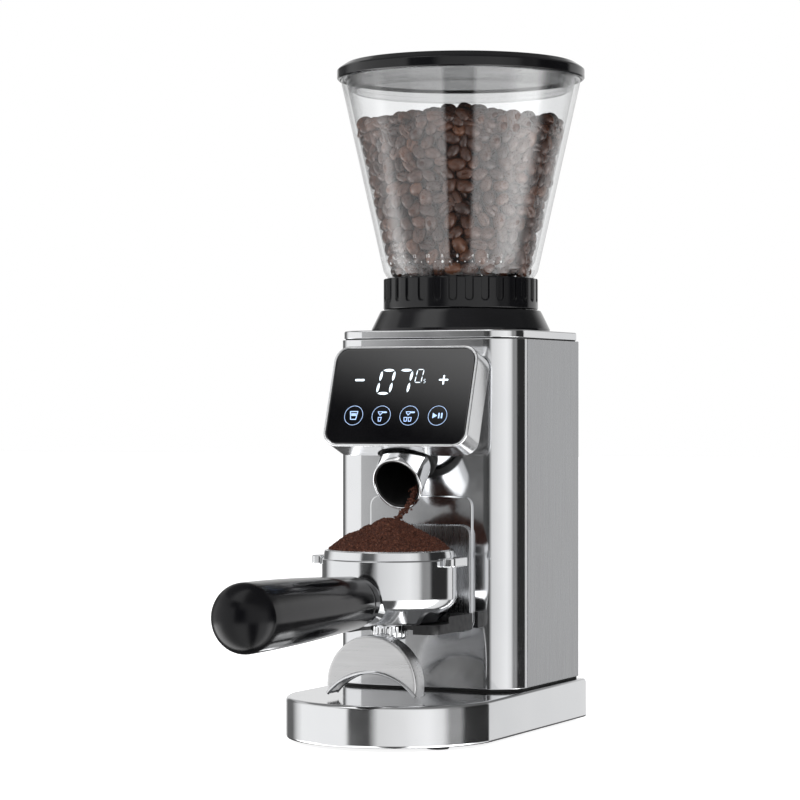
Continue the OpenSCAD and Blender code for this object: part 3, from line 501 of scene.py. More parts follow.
def outline_rings(corners, levels, steps):
    """A ring of the polygon at each (height, inset)."""
    return [[(p.x, p.y, z) for p in rounded_path(inset_corners(corners, inset), True, steps)] for z, inset in levels]


def slab(name, corners, low, high, r_low, r_high, material, place=None, steps=8):
    """A prism with rounded corners and rounded edges, between two heights."""
    levels = edge_levels(low, high, r_low, r_high)
    levels = [(low, levels[0][1] + SUPPORT)] + levels + [(high, levels[-1][1] + SUPPORT)]
    return mesh_piece(name, *rings_to_mesh(outline_rings(corners, levels, steps)), material, place)


def wall(name, corners, low, high, edge, material, place=None, steps=10):
    """A thin bent sheet given by its closed outline, with slightly rounded edges."""
    rings = outline_rings(corners, edge_levels(low, high, edge, edge, 3), steps)
    verts, faces = rings_to_mesh(rings, False, False)
    count = len(rings[0])
    for ring in (0, len(rings) - 1):
        base = ring * count
        last = base + count - 1
        faces += [(base + i, base + i + 1, last - 1 - i, last - i) for i in range(count // 2 - 1)]
    return mesh_piece(name, verts, faces, material, place)


def revolve(name, profile, material, place=None, segments=144, closed=True, steps=5):
    """A turned piece: profile is a list of (radius, height, rounding); radius 0 ends on the axis."""
    path = rounded_path(profile, closed, steps)
    rings = [circle(p.x, p.y, segments) if p.x >= 1e-6 else [(0, 0, p.y)] for p in path]
    verts, starts = [], []
    for ring in rings:
        starts.append(len(verts))
        verts += ring
    faces = []
    for j in range(len(rings) if closed else len(rings) - 1):
        k = (j + 1) % len(rings)
        a, b = starts[j], starts[k]
        if len(rings[j]) == 1 and len(rings[k]) == 1:
            continue
        for i in range(segments):
            m = (i + 1) % segments
            if len(rings[j]) == 1:
                faces.append((a, b + m, b + i))
            elif len(rings[k]) == 1:
                faces.append((a + i, a + m, b))
            else:
                faces.append((a + i, a + m, b + m, b + i))
    return mesh_piece(name, verts, faces, material, place)


def at(x=0.0, y=0.0, z=0.0):
    return Matrix.Translation((x, y, z))


def rect(x0, x1, y0, y1, r):
    """Corners of a rectangle, counterclockwise, with one rounding."""
    return [(x0, y0, r), (x1, y0, r), (x1, y1, r), (x0, y1, r)]


ON_AXIS = at(AXIS.x, AXIS.y)
FACING_FRONT = Matrix(((1, 0, 0, 0), (0, 0, -1, 0), (0, 1, 0, 0), (0, 0, 0, 1)))   # local Z points to -Y


# ---------------------------------------------------------------- base and column

base_low, base_high = box("base_shell")
front_low, front_high = box("front_shell")
rear_low, rear_high = box("rear_cover")
SHEET = 1.2


def make_base():
    half = (base_high.x - base_low.x) / 2
    nose = 53.0
    radius = (half ** 2 + nose ** 2) / (2 * nose)
    reach = math.asin(half / radius)
    edge, lip = 2.2, 1.5             # rounding of the upper edge, depth of the recess underneath

    def outline(inset):
        """Two rounded rear corners, straight sides and one arc for the nose."""
        corner = max(2.0 - inset, 0.3)
        points = []
        for k in range(14):
            a = math.pi * (k if k <= 6 else k - 1) / 12
            x = base_high.x - inset - corner if k <= 6 else base_low.x + inset + corner
            points.append((x + corner * math.cos(a), base_high.y - inset - corner * (1 - math.sin(a))))
        for k in range(-48, 49):
            a = reach * k / 48
            r = radius - inset
            points.append((AXIS.x + r * math.sin(a), base_low.y + radius - r * math.cos(a)))
        return points

    levels = [(base_high.z - lip, lip + 2), (base_high.z - lip, lip), (base_low.z, lip)]
    levels += edge_levels(base_low.z, base_high.z, 1.2, edge) + [(base_high.z, edge + SUPPORT)]
    verts, faces = rings_to_mesh([[(x, y, z) for x, y in outline(inset)] for z, inset in levels])
    finish_piece(mesh_piece("base_shell_steel", verts, faces, STEEL), "housing", "polished_steel", "base_shell")


def make_feet():
    low, high = box("rubber_feet")
    r = 6.25
    feet = []
    for x in (low.x + r, high.x - r):
        for y in (low.y + r, high.y - r):
            profile = [(0, 0, 0), (r - 2.2, 0, 0.2), (r - 2, 0.5, 0.2), (r - 1.4, 0.5, 0.2), (r - 1.2, 0, 0.2),
                       (r, 0, 0.6), (r, base_low.z + 0.4, 0.1), (0, base_low.z + 0.4, 0)]
            feet.append(revolve("foot", profile, RUBBER, at(x, y), 48, False))
    finish_piece(join("rubber_feet_turned", feet), "housing", "black_rubber", "rubber_feet")


def make_column():
    r = 18.5
    x0, x1, y0, seam = front_low.x, front_high.x, front_low.y, front_high.y
    hem = SHEET / 2 - 0.02
    front = [
        (x0, seam, hem), (x0, y0, r), (x1, y0, r), (x1, seam, hem),
        (x1 - SHEET, seam, hem), (x1 - SHEET, y0 + SHEET, r - SHEET),
        (x0 + SHEET, y0 + SHEET, r - SHEET), (x0 + SHEET, seam, hem),
    ]
    piece = wall("front_shell_steel", front, front_low.z, front_high.z, 0.3, STEEL, None, 16)
    finish_piece(piece, "housing", "polished_steel", "front_shell")
    x0, x1, y0, y1 = rear_low.x, rear_high.x, rear_low.y, rear_high.y
    back = [
        (x1, y0, hem), (x1, y1, 1.0), (x0, y1, 1.0), (x0, y0, hem), (x0 + SHEET, y0, hem),
        (x0 + SHEET, y1 - SHEET, 0.2), (x1 - SHEET, y1 - SHEET, 0.2), (x1 - SHEET, y0, hem),
    ]
    piece = wall("rear_cover_steel", back, rear_low.z, rear_high.z, 0.3, SIDE_STEEL, None, 6)
    slots = []
    for row in range(10):
        for side in (-17, 17):
            z = 63.2 + row * 6
            slots.append(slab("slot", rect(side - 13, side + 13, z - 1.2, z + 1.2, 1.19), -2, 4, 0, 0, MATTE,
                              at(0, y1 + 1) @ FACING_FRONT, 4))
    cut(piece, join("slots", slots))
    finish_piece(piece, "housing", "brushed_steel", "rear_cover")


def make_top_plate():
    low, high = box("top_plate")
    corners = [(low.x, low.y, 17.6), (high.x, low.y, 17.6), (high.x, high.y, 1.4), (low.x, high.y, 1.4)]
    piece = slab("top_plate_steel", corners, low.z, high.z, 0.4, 1.1, STEEL, None, 16)
    finish_piece(piece, "housing", "polished_steel", "top_plate")


def make_collar():
    low, high = box("hopper_collar")
    h = high.z - low.z
    r = (high.x - low.x) / 2
    profile = [(38, 0, 0), (r, 0, 0.4), (r, 1.4, 0.5), (r - 4.4, h - 1.8, 0.8), (r - 5.4, h, 0.7), (38, h, 0.5)]
    piece = revolve("hopper_collar_turned", profile, GLOSS, ON_AXIS @ at(0, 0, low.z))
    finish_piece(piece, "housing", "gloss_black", "hopper_collar")


make_base()
make_feet()
make_column()
make_top_plate()
make_collar()


# ---------------------------------------------------------------- setting ring

def flute_depth(s, z, half, floor, depth):
    """How deep a U-shaped flute is at s across and z up, with soft rims."""
    d = math.hypot(s, min(z - floor - half, 0)) - half
    t = min(max(-d / 0.55, 0), 1)
    return depth * t * t * (3 - 2 * t)


def make_ring():
    low, high = box("adjust_ring")
    r = (high.x - low.x) / 2
    top = high.z
    bottom = top - 18
    count, half, floor, depth = 30, 2.5, bottom + 4.1, 1.3
    pitch = TAU / count
    steps = (0.9, 1.5, 1.85, 2.0, 2.15, 2.3, 2.45, 2.6, 3.1, 3.9)
    offsets = sorted([-s for s in steps] + [0, *steps]) + [r * pitch / 2]
    angles = [k * pitch + s / r for k in range(count) for s in offsets]
    marks = [r * pitch * k + s for k in range(count) for s in offsets]
    rows = [(bottom + 0.8 - 0.8 * math.cos(a), 0.8 - 0.8 * math.sin(a)) for a in quarter(4)]
    rows += [(bottom + z, 0) for z in (1.5, 3.2, 4.0, 4.2, 4.4, 4.7, 5.1, 5.6, 6.1, 6.6, 8, 11, 14, 16.6)]
    rows += [(top - 0.8 + 0.8 * math.sin(a), 0.8 - 0.8 * math.cos(a)) for a in quarter(4)]
    rings = []
    for z, inset in rows:
        ring = []
        for a, s in zip(angles, marks):
            across = (s + r * pitch / 2) % (r * pitch) - r * pitch / 2
            radius = r - max(inset, flute_depth(across, z, half, floor, depth))
            ring.append((radius * math.cos(a), radius * math.sin(a), z))
        rings.append(ring)
    inner = [(r - 3.0, top), (r - 3.4, top - 0.4), (r - 3.4, bottom + 4.4), (r - 3.8, bottom + 4),
             (34.9, bottom + 4), (34.9, low.z), (37.4, low.z), (37.4, bottom)]
    for radius, z in inner:
        rings.append([(radius * math.cos(a), radius * math.sin(a), z) for a in angles])
    verts, faces = rings_to_mesh(rings, loop=True)
    piece = mesh_piece("adjust_ring_knurled", verts, faces, GLOSS, ON_AXIS)
    finish_piece(piece, "setting_ring", "gloss_black", "adjust_ring")


make_ring()


# ---------------------------------------------------------------- hopper, scale, lid

hopper_low, hopper_high = box("hopper")
RIM_R = (hopper_high.x - hopper_low.x) / 2
FOOT_R = 46.2
FOOT_H = 10.0
WALL_LOW = hopper_low.z + FOOT_H
SLOPE = (RIM_R - FOOT_R) / (hopper_high.z - WALL_LOW)
HOPPER_T = 3.0


def wall_radius(z):
    """Outer radius of the hopper's straight wall at height z."""
    return FOOT_R + SLOPE * (z - WALL_LOW)


def make_hopper():
    z0, z1 = hopper_low.z, hopper_high.z
    profile = [
        (40, z0, 0.2), (42.3, z0, 0.8), (43.4, z0 + 1.6, 1.0), (wall_radius(z0 + 4.2), z0 + 4.2, 2),
        (RIM_R, z1, 0.9), (RIM_R - HOPPER_T, z1, 0.9), (FOOT_R - HOPPER_T, WALL_LOW, 6), (40, z0 + 4, 0.5),
    ]
    piece = revolve("hopper_clear", profile, CLEAR, ON_AXIS, 192)
    finish_piece(piece, "hopper", "clear_plastic", "hopper")


STEP_ANGLE = math.radians(5.36)
REST_SETTING = 10
SCALE_Z = WALL_LOW - 2.2


def on_cone(angle, z, lift):
    """A frame on the hopper's outside: local X across, Y up the wall, Z out; angle 0 is the front."""
    lean = math.atan(SLOPE)
    out = Vector((math.sin(angle), -math.cos(angle), 0))
    up = (Vector((0, 0, 1)) * math.cos(lean) + out * math.sin(lean)).normalized()
    across = Vector((math.cos(angle), math.sin(angle), 0))
    normal = across.cross(up)
    spot = AXIS + out * (wall_radius(z) + lift) + Vector((0, 0, z))
    return Matrix.Translation(spot) @ Matrix((across, up, normal)).transposed().to_4x4()


def text_mesh(text, size):
    """Vertices and faces of flat centred text, in millimetres."""
    curve = bpy.data.curves.new("text", "FONT")
    curve.body = text
    curve.size = size
    curve.align_x = "CENTER"
    curve.align_y = "CENTER"
    curve.resolution_u = 3
    holder = bpy.data.objects.new("text", curve)
    bpy.context.scene.collection.objects.link(holder)
    bpy.context.view_layer.update()
    mesh = bpy.data.meshes.new_from_object(holder.evaluated_get(bpy.context.evaluated_depsgraph_get()))
    verts = [v.co.copy() for v in mesh.vertices]
    faces = [tuple(p.vertices) for p in mesh.polygons]
    bpy.data.objects.remove(holder)
    bpy.data.curves.remove(curve)
    bpy.data.meshes.remove(mesh)
    return verts, faces


def make_scale():
    """Printed settings round the hopper's foot: a dot for each setting, a number for each even one."""
    verts, faces = [], []

    def stamp(points, polygons, place):
        base = len(verts)
        verts.extend(place @ Vector(p) for p in points)
        faces.extend(tuple(base + i for i in f) for f in polygons)

    for setting in range(49):
        angle = (REST_SETTING - setting) * STEP_ANGLE
        large = setting in (0, 8, 17, 30, 48)
        points = circle(0.75 if large else 0.32, 0, 16)
        stamp(points, [tuple(range(len(points)))], on_cone(angle, SCALE_Z, 0.03))
        if setting % 2 == 0:
            points, polygons = text_mesh(str(setting), 2.7)
            stamp(points, polygons, on_cone(angle, SCALE_Z + 3.2, 0.05))
    # the print material carries a faint painted glow
    piece = mesh_piece("hopper_scale_print", verts, faces, INK_WITH_PAINTED_GLOW, None, False)
    finish_piece(piece, "hopper", "clear_plastic")


def make_lid():
    r = (lid_high.x - lid_low.x) / 2
    z0, z1 = lid_low.z, lid_high.z
    profile = [
        (0, z1 - 1.2, 0), (r - 13.5, z1 - 1.2, 1.0), (r - 12, z1, 0.8), (r - 5.2, z1, 2.5),
        (r - 0.9, z1 - 2.9, 0.8), (r, z1 - 3.8, 0.8), (r, z0 + 0.7, 0.3), (r - 0.7, z0, 0.3),
        (RIM_R + 0.4, z0, 0.15), (RIM_R + 0.4, z0 + 1.0, 0.1), (RIM_R - 3.4, z0 + 1.0, 0.1), (0, z0 + 1.0, 0),
    ]
    finish_piece(revolve("lid_moulded", profile, GLOSS, ON_AXIS, 192, False), "lid", "gloss_black", "lid")
    low, high = box("lid_seal")
    inside = RIM_R - HOPPER_T
    seal = [(inside - 5.3, high.z, 0.2), (inside - 1.3, high.z, 0.2)]
    for rib in range(3):
        tip = inside - 0.35 - SLOPE * (rib * 2.6 + 2.6)
        top = high.z - rib * 2.6
        seal += [(tip, top - 0.5, 0.35), (tip, top - 1.6, 0.35), (tip - 1.6, top - 2.1, 0.3)]
    seal.append((inside - 5.3, low.z, 0.3))
    finish_piece(revolve("lid_seal_ribbed", seal, SILICONE, ON_AXIS, 144), "lid", "silicone_seal", "lid_seal")


make_hopper()
make_scale()
make_lid()


# ---------------------------------------------------------------- coffee beans

def bean_shape():
    """Unit bean: 1 long, domed on one side, with an S-shaped crease down its flat side."""
    across, along = 20, 14
    verts, faces = [], []
    for i in range(along + 1):
        u = math.pi * i / along
        for j in range(across):
            v = TAU * j / across
            x = math.cos(u)
            ring = math.sin(u) ** 0.85
            y = ring * math.cos(v)
            z = ring * math.sin(v)
            flat = z < 0
            depth = z * (0.42 if flat else 0.78)
            if flat:
                bend = 0.10 * math.sin(x * 3.0)
                groove = math.exp(-((y - bend) / 0.13) ** 2) * (1 - x ** 6)
                depth += 0.30 * groove
            verts.append(Vector((x * 0.5, y * 0.36, depth * 0.5)))
    for i in range(along):
        for j in range(across):
            k = (j + 1) % across
            faces.append((i * across + j, i * across + k, (i + 1) * across + k, (i + 1) * across + j))
    return verts, faces


BEAN_EDGE = 345.0                # where the heap meets the wall
BEAN_PEAK = box("coffee_beans")[1].z - 3


def heap_top(r):
    """Height of the bean heap at radius r."""
    return BEAN_EDGE + (BEAN_PEAK - BEAN_EDGE) * (0.5 + 0.5 * math.cos(min(r / 62.0, 1) * math.pi))


def bean_places(rng):
    """Centres of the beans seen through the wall and on the heap, as radius, angle and height."""
    spots = []
    floor = hopper_low.z + 5
    for layer, inward in enumerate((5.2, 10.2)):
        z = floor + layer * 2.5
        row = 0
        while z < heap_top(60) - 2:
            r = wall_radius(max(z, WALL_LOW)) - HOPPER_T - inward
            around = int(TAU * r / 9.2)
            for k in range(around):
                a = TAU * (k + 0.5 * (row % 2) + rng.uniform(-0.18, 0.18)) / around
                spots.append((r, a, z + rng.uniform(-1.2, 1.2)))
            z += 6.6
            row += 1
    r = 3.0
    while r < 62:
        around = max(int(TAU * r / 8.6), 1)
        for k in range(around):
            a = TAU * (k + rng.uniform(-0.25, 0.25)) / around
            spots.append((r, a, heap_top(r) + rng.uniform(-1.5, 1.6)))
            spots.append((r + rng.uniform(-2, 2), a + 4 / r, heap_top(r) - 6 + rng.uniform(-1, 1)))
        r += 7.2
    return spots


def settle(points, limit, rounds=26, gap=7.6):
    """Pushes neighbouring bean centres apart until they hardly overlap, inside the hopper."""
    for _ in range(rounds):
        order = np.argsort(points[:, 2])
        points = points[order]
        limit = limit[order]
        push = np.zeros_like(points)
        for shift in range(1, 110):
            d = points[shift:] - points[:-shift]
            dist = np.linalg.norm(d, axis=1)
            near = (dist < gap) & (dist > 1e-6)
            if not near.any() and (points[shift:, 2] - points[:-shift, 2]).min() > gap:
                break
            step = d / np.maximum(dist, 1e-6)[:, None] * ((gap - dist) * 0.22)[:, None]
            move = np.where(near[:, None], step, 0)
            push[shift:] += move
            push[:-shift] -= move
        points = points + push
        r = np.hypot(points[:, 0], points[:, 1])
        most = FOOT_R + SLOPE * (points[:, 2] - WALL_LOW) - HOPPER_T - 4.6
        scale = np.minimum(1, most / np.maximum(r, 1e-6))
        points[:, 0] *= scale
        points[:, 1] *= scale
        points[:, 2] = np.clip(points[:, 2], hopper_low.z + 4, limit)
    return points


def make_beans():
    rng = random.Random(11)
    spots = bean_places(rng)
    points = np.array([(r * math.cos(a), r * math.sin(a), z) for r, a, z in spots])
    limit = np.array([heap_top(r) + 2.5 for r, a, z in spots])
    points = settle(points, limit)
    unit_verts, unit_faces = bean_shape()
    unit = np.array(unit_verts)
    beans, shades = [], []
    for x, y, z in points:
        r = math.hypot(x, y)
        outward = Vector((x, y, 0)).normalized() if r > 1 else Vector((1, 0, 0))
        if z > heap_top(r) - 5:
            outward = Vector((0, 0, 1)) * 0.8 + outward * 0.4
        outward = (outward + Vector([rng.gauss(0, 0.34) for _ in range(3)])).normalized()
        spin = rng.uniform(0, TAU)
        flip = math.pi if rng.random() < 0.42 else 0
        turn = outward.to_track_quat("Z", "Y").to_matrix()
        turn = turn @ Matrix.Rotation(spin, 3, "Z") @ Matrix.Rotation(flip, 3, "X")
        length = rng.uniform(9.6, 11.6)
        size = Matrix.Diagonal((length, length * rng.uniform(0.92, 1.06), length * rng.uniform(0.95, 1.1)))
        beans.append(unit @ np.array((turn @ size).transposed()) + np.array((x, y, z)))
        shades.append(min(max(rng.gauss(0.48, 0.17), 0.05), 0.95))
    verts = np.concatenate(beans) + np.array(AXIS)
    faces = [tuple(k * len(unit) + i for i in f) for k in range(len(beans)) for f in unit_faces]
    piece = mesh_piece("coffee_beans_heap", verts.tolist(), faces, BEAN, None, False, math.radians(75))
    shade = piece.data.attributes.new("shade", "FLOAT", "POINT")
    shade.data.foreach_set("value", np.repeat(shades, len(unit)).astype(np.float32))
    finish_piece(piece, "hopper", "roasted_beans", "coffee_beans")
    # a dark core, so that no light shows between the beans
    core = [(0, hopper_low.z + 4, 0), (30, hopper_low.z + 4, 2), (wall_radius(340) - 19, 338, 4),
            (20, heap_top(20) - 9, 4), (0, heap_top(0) - 9, 0)]
    finish_piece(revolve("bean_core", core, BEAN, ON_AXIS, 64, False), "hopper", "roasted_beans")


make_beans()


# ---------------------------------------------------------------- display head

glass_low, glass_high = box("display_glass")
TILT = math.radians(19)
GLASS_W = glass_high.x - glass_low.x
GLASS_T = 1.2
GLASS_H = (glass_high.z - glass_low.z - GLASS_T * math.sin(TILT)) / math.cos(TILT)
# the glass's front face runs from its lowest, frontmost edge to its highest, rearmost one
_front_low = Vector((AXIS.x, glass_low.y, glass_low.z + GLASS_T * math.sin(TILT)))
_middle = _front_low + Vector((0, math.sin(TILT), math.cos(TILT))) * (GLASS_H / 2)
DISPLAY = Matrix.Translation(_middle) @ Matrix.Rotation(math.pi / 2 - TILT, 4, "X")
BEZEL = 1.6
CORNER = 7.5
DEPTH = 17.0


def display_rect(grow, r):
    w, h = GLASS_W / 2 + grow, GLASS_H / 2 + grow
    return rect(-w, w, -h, h, r)


CHUTE_LEAN = math.radians(44)
MOUTH_LEAN = math.radians(25)
CHUTE_R = 14.5
MOUTH = Vector((AXIS.x, AXIS.y - 87.5, 140.7))
CHUTE = Matrix.Translation(MOUTH) @ Matrix.Rotation(-CHUTE_LEAN, 4, "X")


def chute_cutter():
    """A cylinder a little wider than the chute's collar."""
    r = CHUTE_R + 2.1
    return revolve("cutter", [(0, 4, 0), (r, 4, 0), (r, 60, 0), (0, 60, 0)], MATTE, CHUTE, 96, False)


def make_housing():
    levels = [(-DEPTH, 0.8 + SUPPORT)] + edge_levels(-DEPTH, 0.25, 0.8, 0.7)
    levels += [(0.25, 1.1), (0.1, 1.38), (-1.5, 1.4), (-1.5, 1.4 + SUPPORT)]
    verts, faces = rings_to_mesh(outline_rings(display_rect(BEZEL, CORNER + BEZEL), levels, 14))
    piece = mesh_piece("display_housing_metal", verts, faces, HOUSING_METAL, DISPLAY)
    cut(piece, chute_cutter())
    finish_piece(piece, "housing", "housing_metal", "display_housing")


def make_bracket():
    low, high = box("display_bracket")
    corners = rect(low.x, high.x, low.z, high.z, 8)
    piece = slab("display_bracket_moulded", corners, -high.y, -low.y + 8, 0, 0.3, MATTE, FACING_FRONT, 12)
    cut(piece, slab("block", rect(-80, 80, -80, 80, 0.1), -DEPTH - 0.05, 60, 0, 0, MATTE, DISPLAY))
    cut(piece, chute_cutter())
    finish_piece(piece, "housing", "matte_black", "display_bracket")


def make_glass():
    pane = display_rect(-0.05, CORNER)
    piece = slab("display_glass_pane", pane, -GLASS_T, 0.12, 0.1, 0.45, GLASS, DISPLAY, 14)
    finish_piece(piece, "housing", "display_glass", "display_glass")


SLANT = math.tan(math.radians(7))
PRINT_Z = 0.135                  # printed light sits just on the glass
PRINT_T = 0.03


class Print:
    """Collects thin flat shapes on the glass into one piece, in display millimetres."""

    def __init__(self):
        self.verts, self.faces = [], []

    def add(self, outline):
        verts, faces = rings_to_mesh([[(x, y, z) for x, y in outline] for z in (PRINT_Z, PRINT_Z + PRINT_T)])
        base = len(self.verts)
        self.verts += verts
        self.faces += [tuple(base + i for i in f) for f in faces]

    def bar(self, x0, y0, x1, y1, width, pointed=True):
        """A straight segment with pointed or round ends."""
        a, b = Vector((x0, y0)), Vector((x1, y1))
        d = (b - a).normalized() * (width / 2)
        n = Vector((-d.y, d.x))
        if pointed:
            sides = [(k / 6, math.sin(math.pi * k / 6) ** 0.55) for k in range(1, 6)]
            points = [a] + [a + (b - a) * t + n * w for t, w in sides] + [b]
            points += [a + (b - a) * t - n * w for t, w in reversed(sides)]
        else:
            points = []
            for end, start in ((a, math.pi / 2), (b, -math.pi / 2)):
                for k in range(7):
                    t = start + math.pi * k / 6
                    points.append(end + d * math.cos(t) + n * math.sin(t))
        self.add([(p.x, p.y) for p in points])

    def ring(self, x, y, r, width, first=0.0, last=TAU, count=48):
        """A round line, whole or part."""
        steps = max(int(count * (last - first) / TAU), 4)
        for k in range(steps):
            a0, a1 = first + (last - first) * k / steps, first + (last - first) * (k + 1) / steps
            quad = [(x + (r + s) * math.cos(a), y + (r + s) * math.sin(a)) for s, a in
                    ((-width / 2, a0), (width / 2, a0), (width / 2, a1), (-width / 2, a1))]
            self.add(quad)

    def piece(self, name, material):
        return mesh_piece(name, self.verts, self.faces, material, DISPLAY)


SEGMENTS = {"0": "abcdef", "7": "abc", "5": "acdfg"}


def digit(ink, text, x, y, w, h, thick):
    """One slanted seven-segment digit centred on x, y."""
    g = thick * 0.32
    ends = {
        "a": (-w / 2 + g, h / 2, w / 2 - g, h / 2), "d": (-w / 2 + g, -h / 2, w / 2 - g, -h / 2),
        "g": (-w / 2 + g, 0, w / 2 - g, 0), "b": (w / 2, h / 2 - g, w / 2, g),
        "c": (w / 2, -g, w / 2, -h / 2 + g), "f": (-w / 2, h / 2 - g, -w / 2, g),
        "e": (-w / 2, -g, -w / 2, -h / 2 + g),
    }
    for name in SEGMENTS[text]:
        x0, y0, x1, y1 = ends[name]
        ink.bar(x + x0 + y0 * SLANT, y + y0, x + x1 + y1 * SLANT, y + y1, thick)


def cup(ink, x, y, w, h, line):
    """A cup that narrows downwards."""
    top, bottom, foot = y + h / 2, y - h / 2, w * 0.34
    for x0, y0, x1, y1 in ((-w / 2, top, w / 2, top), (-w / 2, top, -foot, bottom), (w / 2, top, foot, bottom),
                           (-foot, bottom, foot, bottom)):
        ink.bar(x + x0, y0, x + x1, y1, line, False)


def holder(ink, x, y, line):
    """A little portafilter: a bowl with a handle to the right."""
    ink.bar(x - 1.9, y + 0.9, x + 0.9, y + 0.9, line, False)
    ink.ring(x - 0.5, y + 0.7, 1.25, line, math.pi, TAU)
    ink.bar(x + 1.3, y + 0.6, x + 3.0, y + 0.6, line * 2.2, False)
    ink.bar(x - 0.5, y - 0.6, x - 0.5, y - 1.2, line, False)


def make_print():
    bright = Print()
    for text, *spot in (("0", -9.8, 8.2, 7.8, 13.6, 1.6), ("7", 1.0, 8.2, 7.8, 13.6, 1.6),
                        ("0", 10.2, 11.6, 3.8, 7.6, 0.55), ("5", 13.8, 8.6, 1.1, 2.1, 0.34)):
        digit(bright, text, *spot)
    for bar in ((-28.4, 9.3, -23.8, 9.3, 1.3), (22.9, 9.3, 27.6, 9.3, 1.05), (25.25, 7.0, 25.25, 11.6, 1.05)):
        bright.bar(*bar, False)
    finish_piece(bright.piece("display_digits", GLOW), "housing", "display_glass")
    icons = Print()
    row = -11.6
    for x in (-26.7, -9.7, 7.4, 24.6):
        icons.ring(x, row, 5.6, 0.24, 0, TAU, 64)
    cup(icons, -26.7, row, 4.6, 4.6, 0.5)
    icons.bar(-28.2, row + 1.0, -25.2, row + 1.0, 0.5, False)
    icons.bar(-27.9, row + 0.2, -25.5, row + 0.2, 0.9, False)
    holder(icons, -9.9, row + 1.3, 0.42)
    cup(icons, -10.4, row - 2.2, 1.9, 2.2, 0.42)
    holder(icons, 7.2, row + 1.3, 0.42)
    cup(icons, 5.4, row - 2.2, 1.9, 2.2, 0.42)
    cup(icons, 8.0, row - 2.2, 1.9, 2.2, 0.42)
    icons.add([(21.6, row - 1.6), (24.4, row), (21.6, row + 1.6)])
    icons.bar(25.4, row - 1.2, 25.4, row + 1.2, 0.9, False)
    icons.bar(27.1, row - 1.2, 27.1, row + 1.2, 0.9, False)
    finish_piece(icons.piece("display_icons", GLOW_DIM), "housing", "display_glass")


def chute_rings(outer, inner, top, lip):
    """Rings of a slanted tube whose mouth is cut by the mouth plane, with a rounded lip."""
    lean = CHUTE_LEAN + MOUTH_LEAN
    count = 120
    steps = 6

    def ring(r, lift):
        """A ring parallel to the mouth, lifted along the tube."""
        return [(x, y, lift - y / math.tan(lean)) for x, y, _ in circle(r, 0, count)]

    half = (outer - inner) / 2
    rings = [circle(outer, top, count), ring(outer, half + 3 * SUPPORT)]
    for k in range(steps + 1):
        a = math.pi * k / steps
        rings.append(ring(inner + half + half * math.cos(a), half + lip - half * math.sin(a)))
    return rings + [ring(inner, half + 3 * SUPPORT), circle(inner, top, count)]


def make_chute():
    r = CHUTE_R
    verts, faces = rings_to_mesh(chute_rings(r, r - 1.1, 44, 0), loop=True)
    tube = mesh_piece("chute_tube_steel", verts, faces, STEEL, CHUTE)
    finish_piece(tube, "housing", "polished_steel", "chute_tube")
    verts, faces = rings_to_mesh(chute_rings(r - 1.13, r - 2.0, 44, 0.5), loop=True)
    liner = mesh_piece("chute_liner_moulded", verts, faces, LINER, CHUTE)
    finish_piece(liner, "housing", "matte_black", "chute_liner")
    profile = [(r + 0.05, 19, 0.3), (r + 1.9, 19, 0.8), (r + 1.9, 25, 0.3), (r + 0.05, 25, 0.3)]
    collar = revolve("chute_collar_rubber", profile, RUBBER, CHUTE, 96)
    finish_piece(collar, "housing", "black_rubber", "chute_collar")


make_housing()
make_bracket()
make_glass()
make_print()
make_chute()


# ---------------------------------------------------------------- dock and cradle

def upright_plate(name, node, r_back, r_front, material):
    """A flat plate with rounded corners that stands facing the front, in a CAD node's box."""
    low, high = box(node)
    corners = rect(low.x, high.x, low.z, high.z, 6)
    return low, high, slab(name, corners, -high.y, -low.y, r_back, r_front, material, FACING_FRONT, 10)


def make_dock():
    low, high, piece = upright_plate("dock_plate_steel", "dock_plate", 0, 0.5, STEEL)
    finish_piece(piece, "housing", "polished_steel", "dock_plate")
    low, high, piece = upright_plate("cradle_plate_steel", "cradle_plate", 0.2, 0.6, SIDE_STEEL)
    studs_low, studs_high = box("cradle_studs")
    x = studs_high.x - 7.5
    z = (studs_low.z + studs_high.z) / 2
    profile = [
        (0, 1.7, 0), (2.0, 1.7, 0.1), (2.3, 1.2, 0.1), (2.8, 1.2, 0.1), (3.1, 1.6, 0.2), (7.5, 1.25, 0.5),
        (7.5, 0, 0.2), (2.5, 0, 0.1), (2.5, -9, 0.2), (0, -9, 0),
    ]
    slots, heads = [], []
    for across in (-x, x):
        corners = rect(across - 3, across + 3, z - 7, z + 3, 2.99)
        slots.append(slab("slot", corners, -high.y - 3, -low.y + 3, 0, 0, MATTE, FACING_FRONT, 8))
        place = at(across, studs_low.y + 1.6, z) @ FACING_FRONT
        heads.append(revolve("stud", profile, STEEL, place, 64, False))
    cut(piece, join("slots", slots))
    finish_piece(piece, "cradle", "brushed_steel", "cradle_plate")
    finish_piece(join("cradle_stud_heads", heads), "housing", "polished_steel", "cradle_studs")


make_dock()


# ---------------------------------------------------------------- portafilter

bowl_low, bowl_high = box("portafilter_bowl")
spout_low = box("double_spout")[0]
grip_low, grip_high = box("handle_grip")
BOWL_R = 37.2
RIM_Z = bowl_high.z
BOWL_Y = bowl_high.y - BOWL_R
HANDLE_Z = (grip_low.z + grip_high.z) / 2
BOWL = at(AXIS.x, BOWL_Y)
ALONG_HANDLE = FACING_FRONT      # local Z runs from the bowl to the end of the grip
NUT_LOW = 57.4                   # underside of the round nut that holds the spout


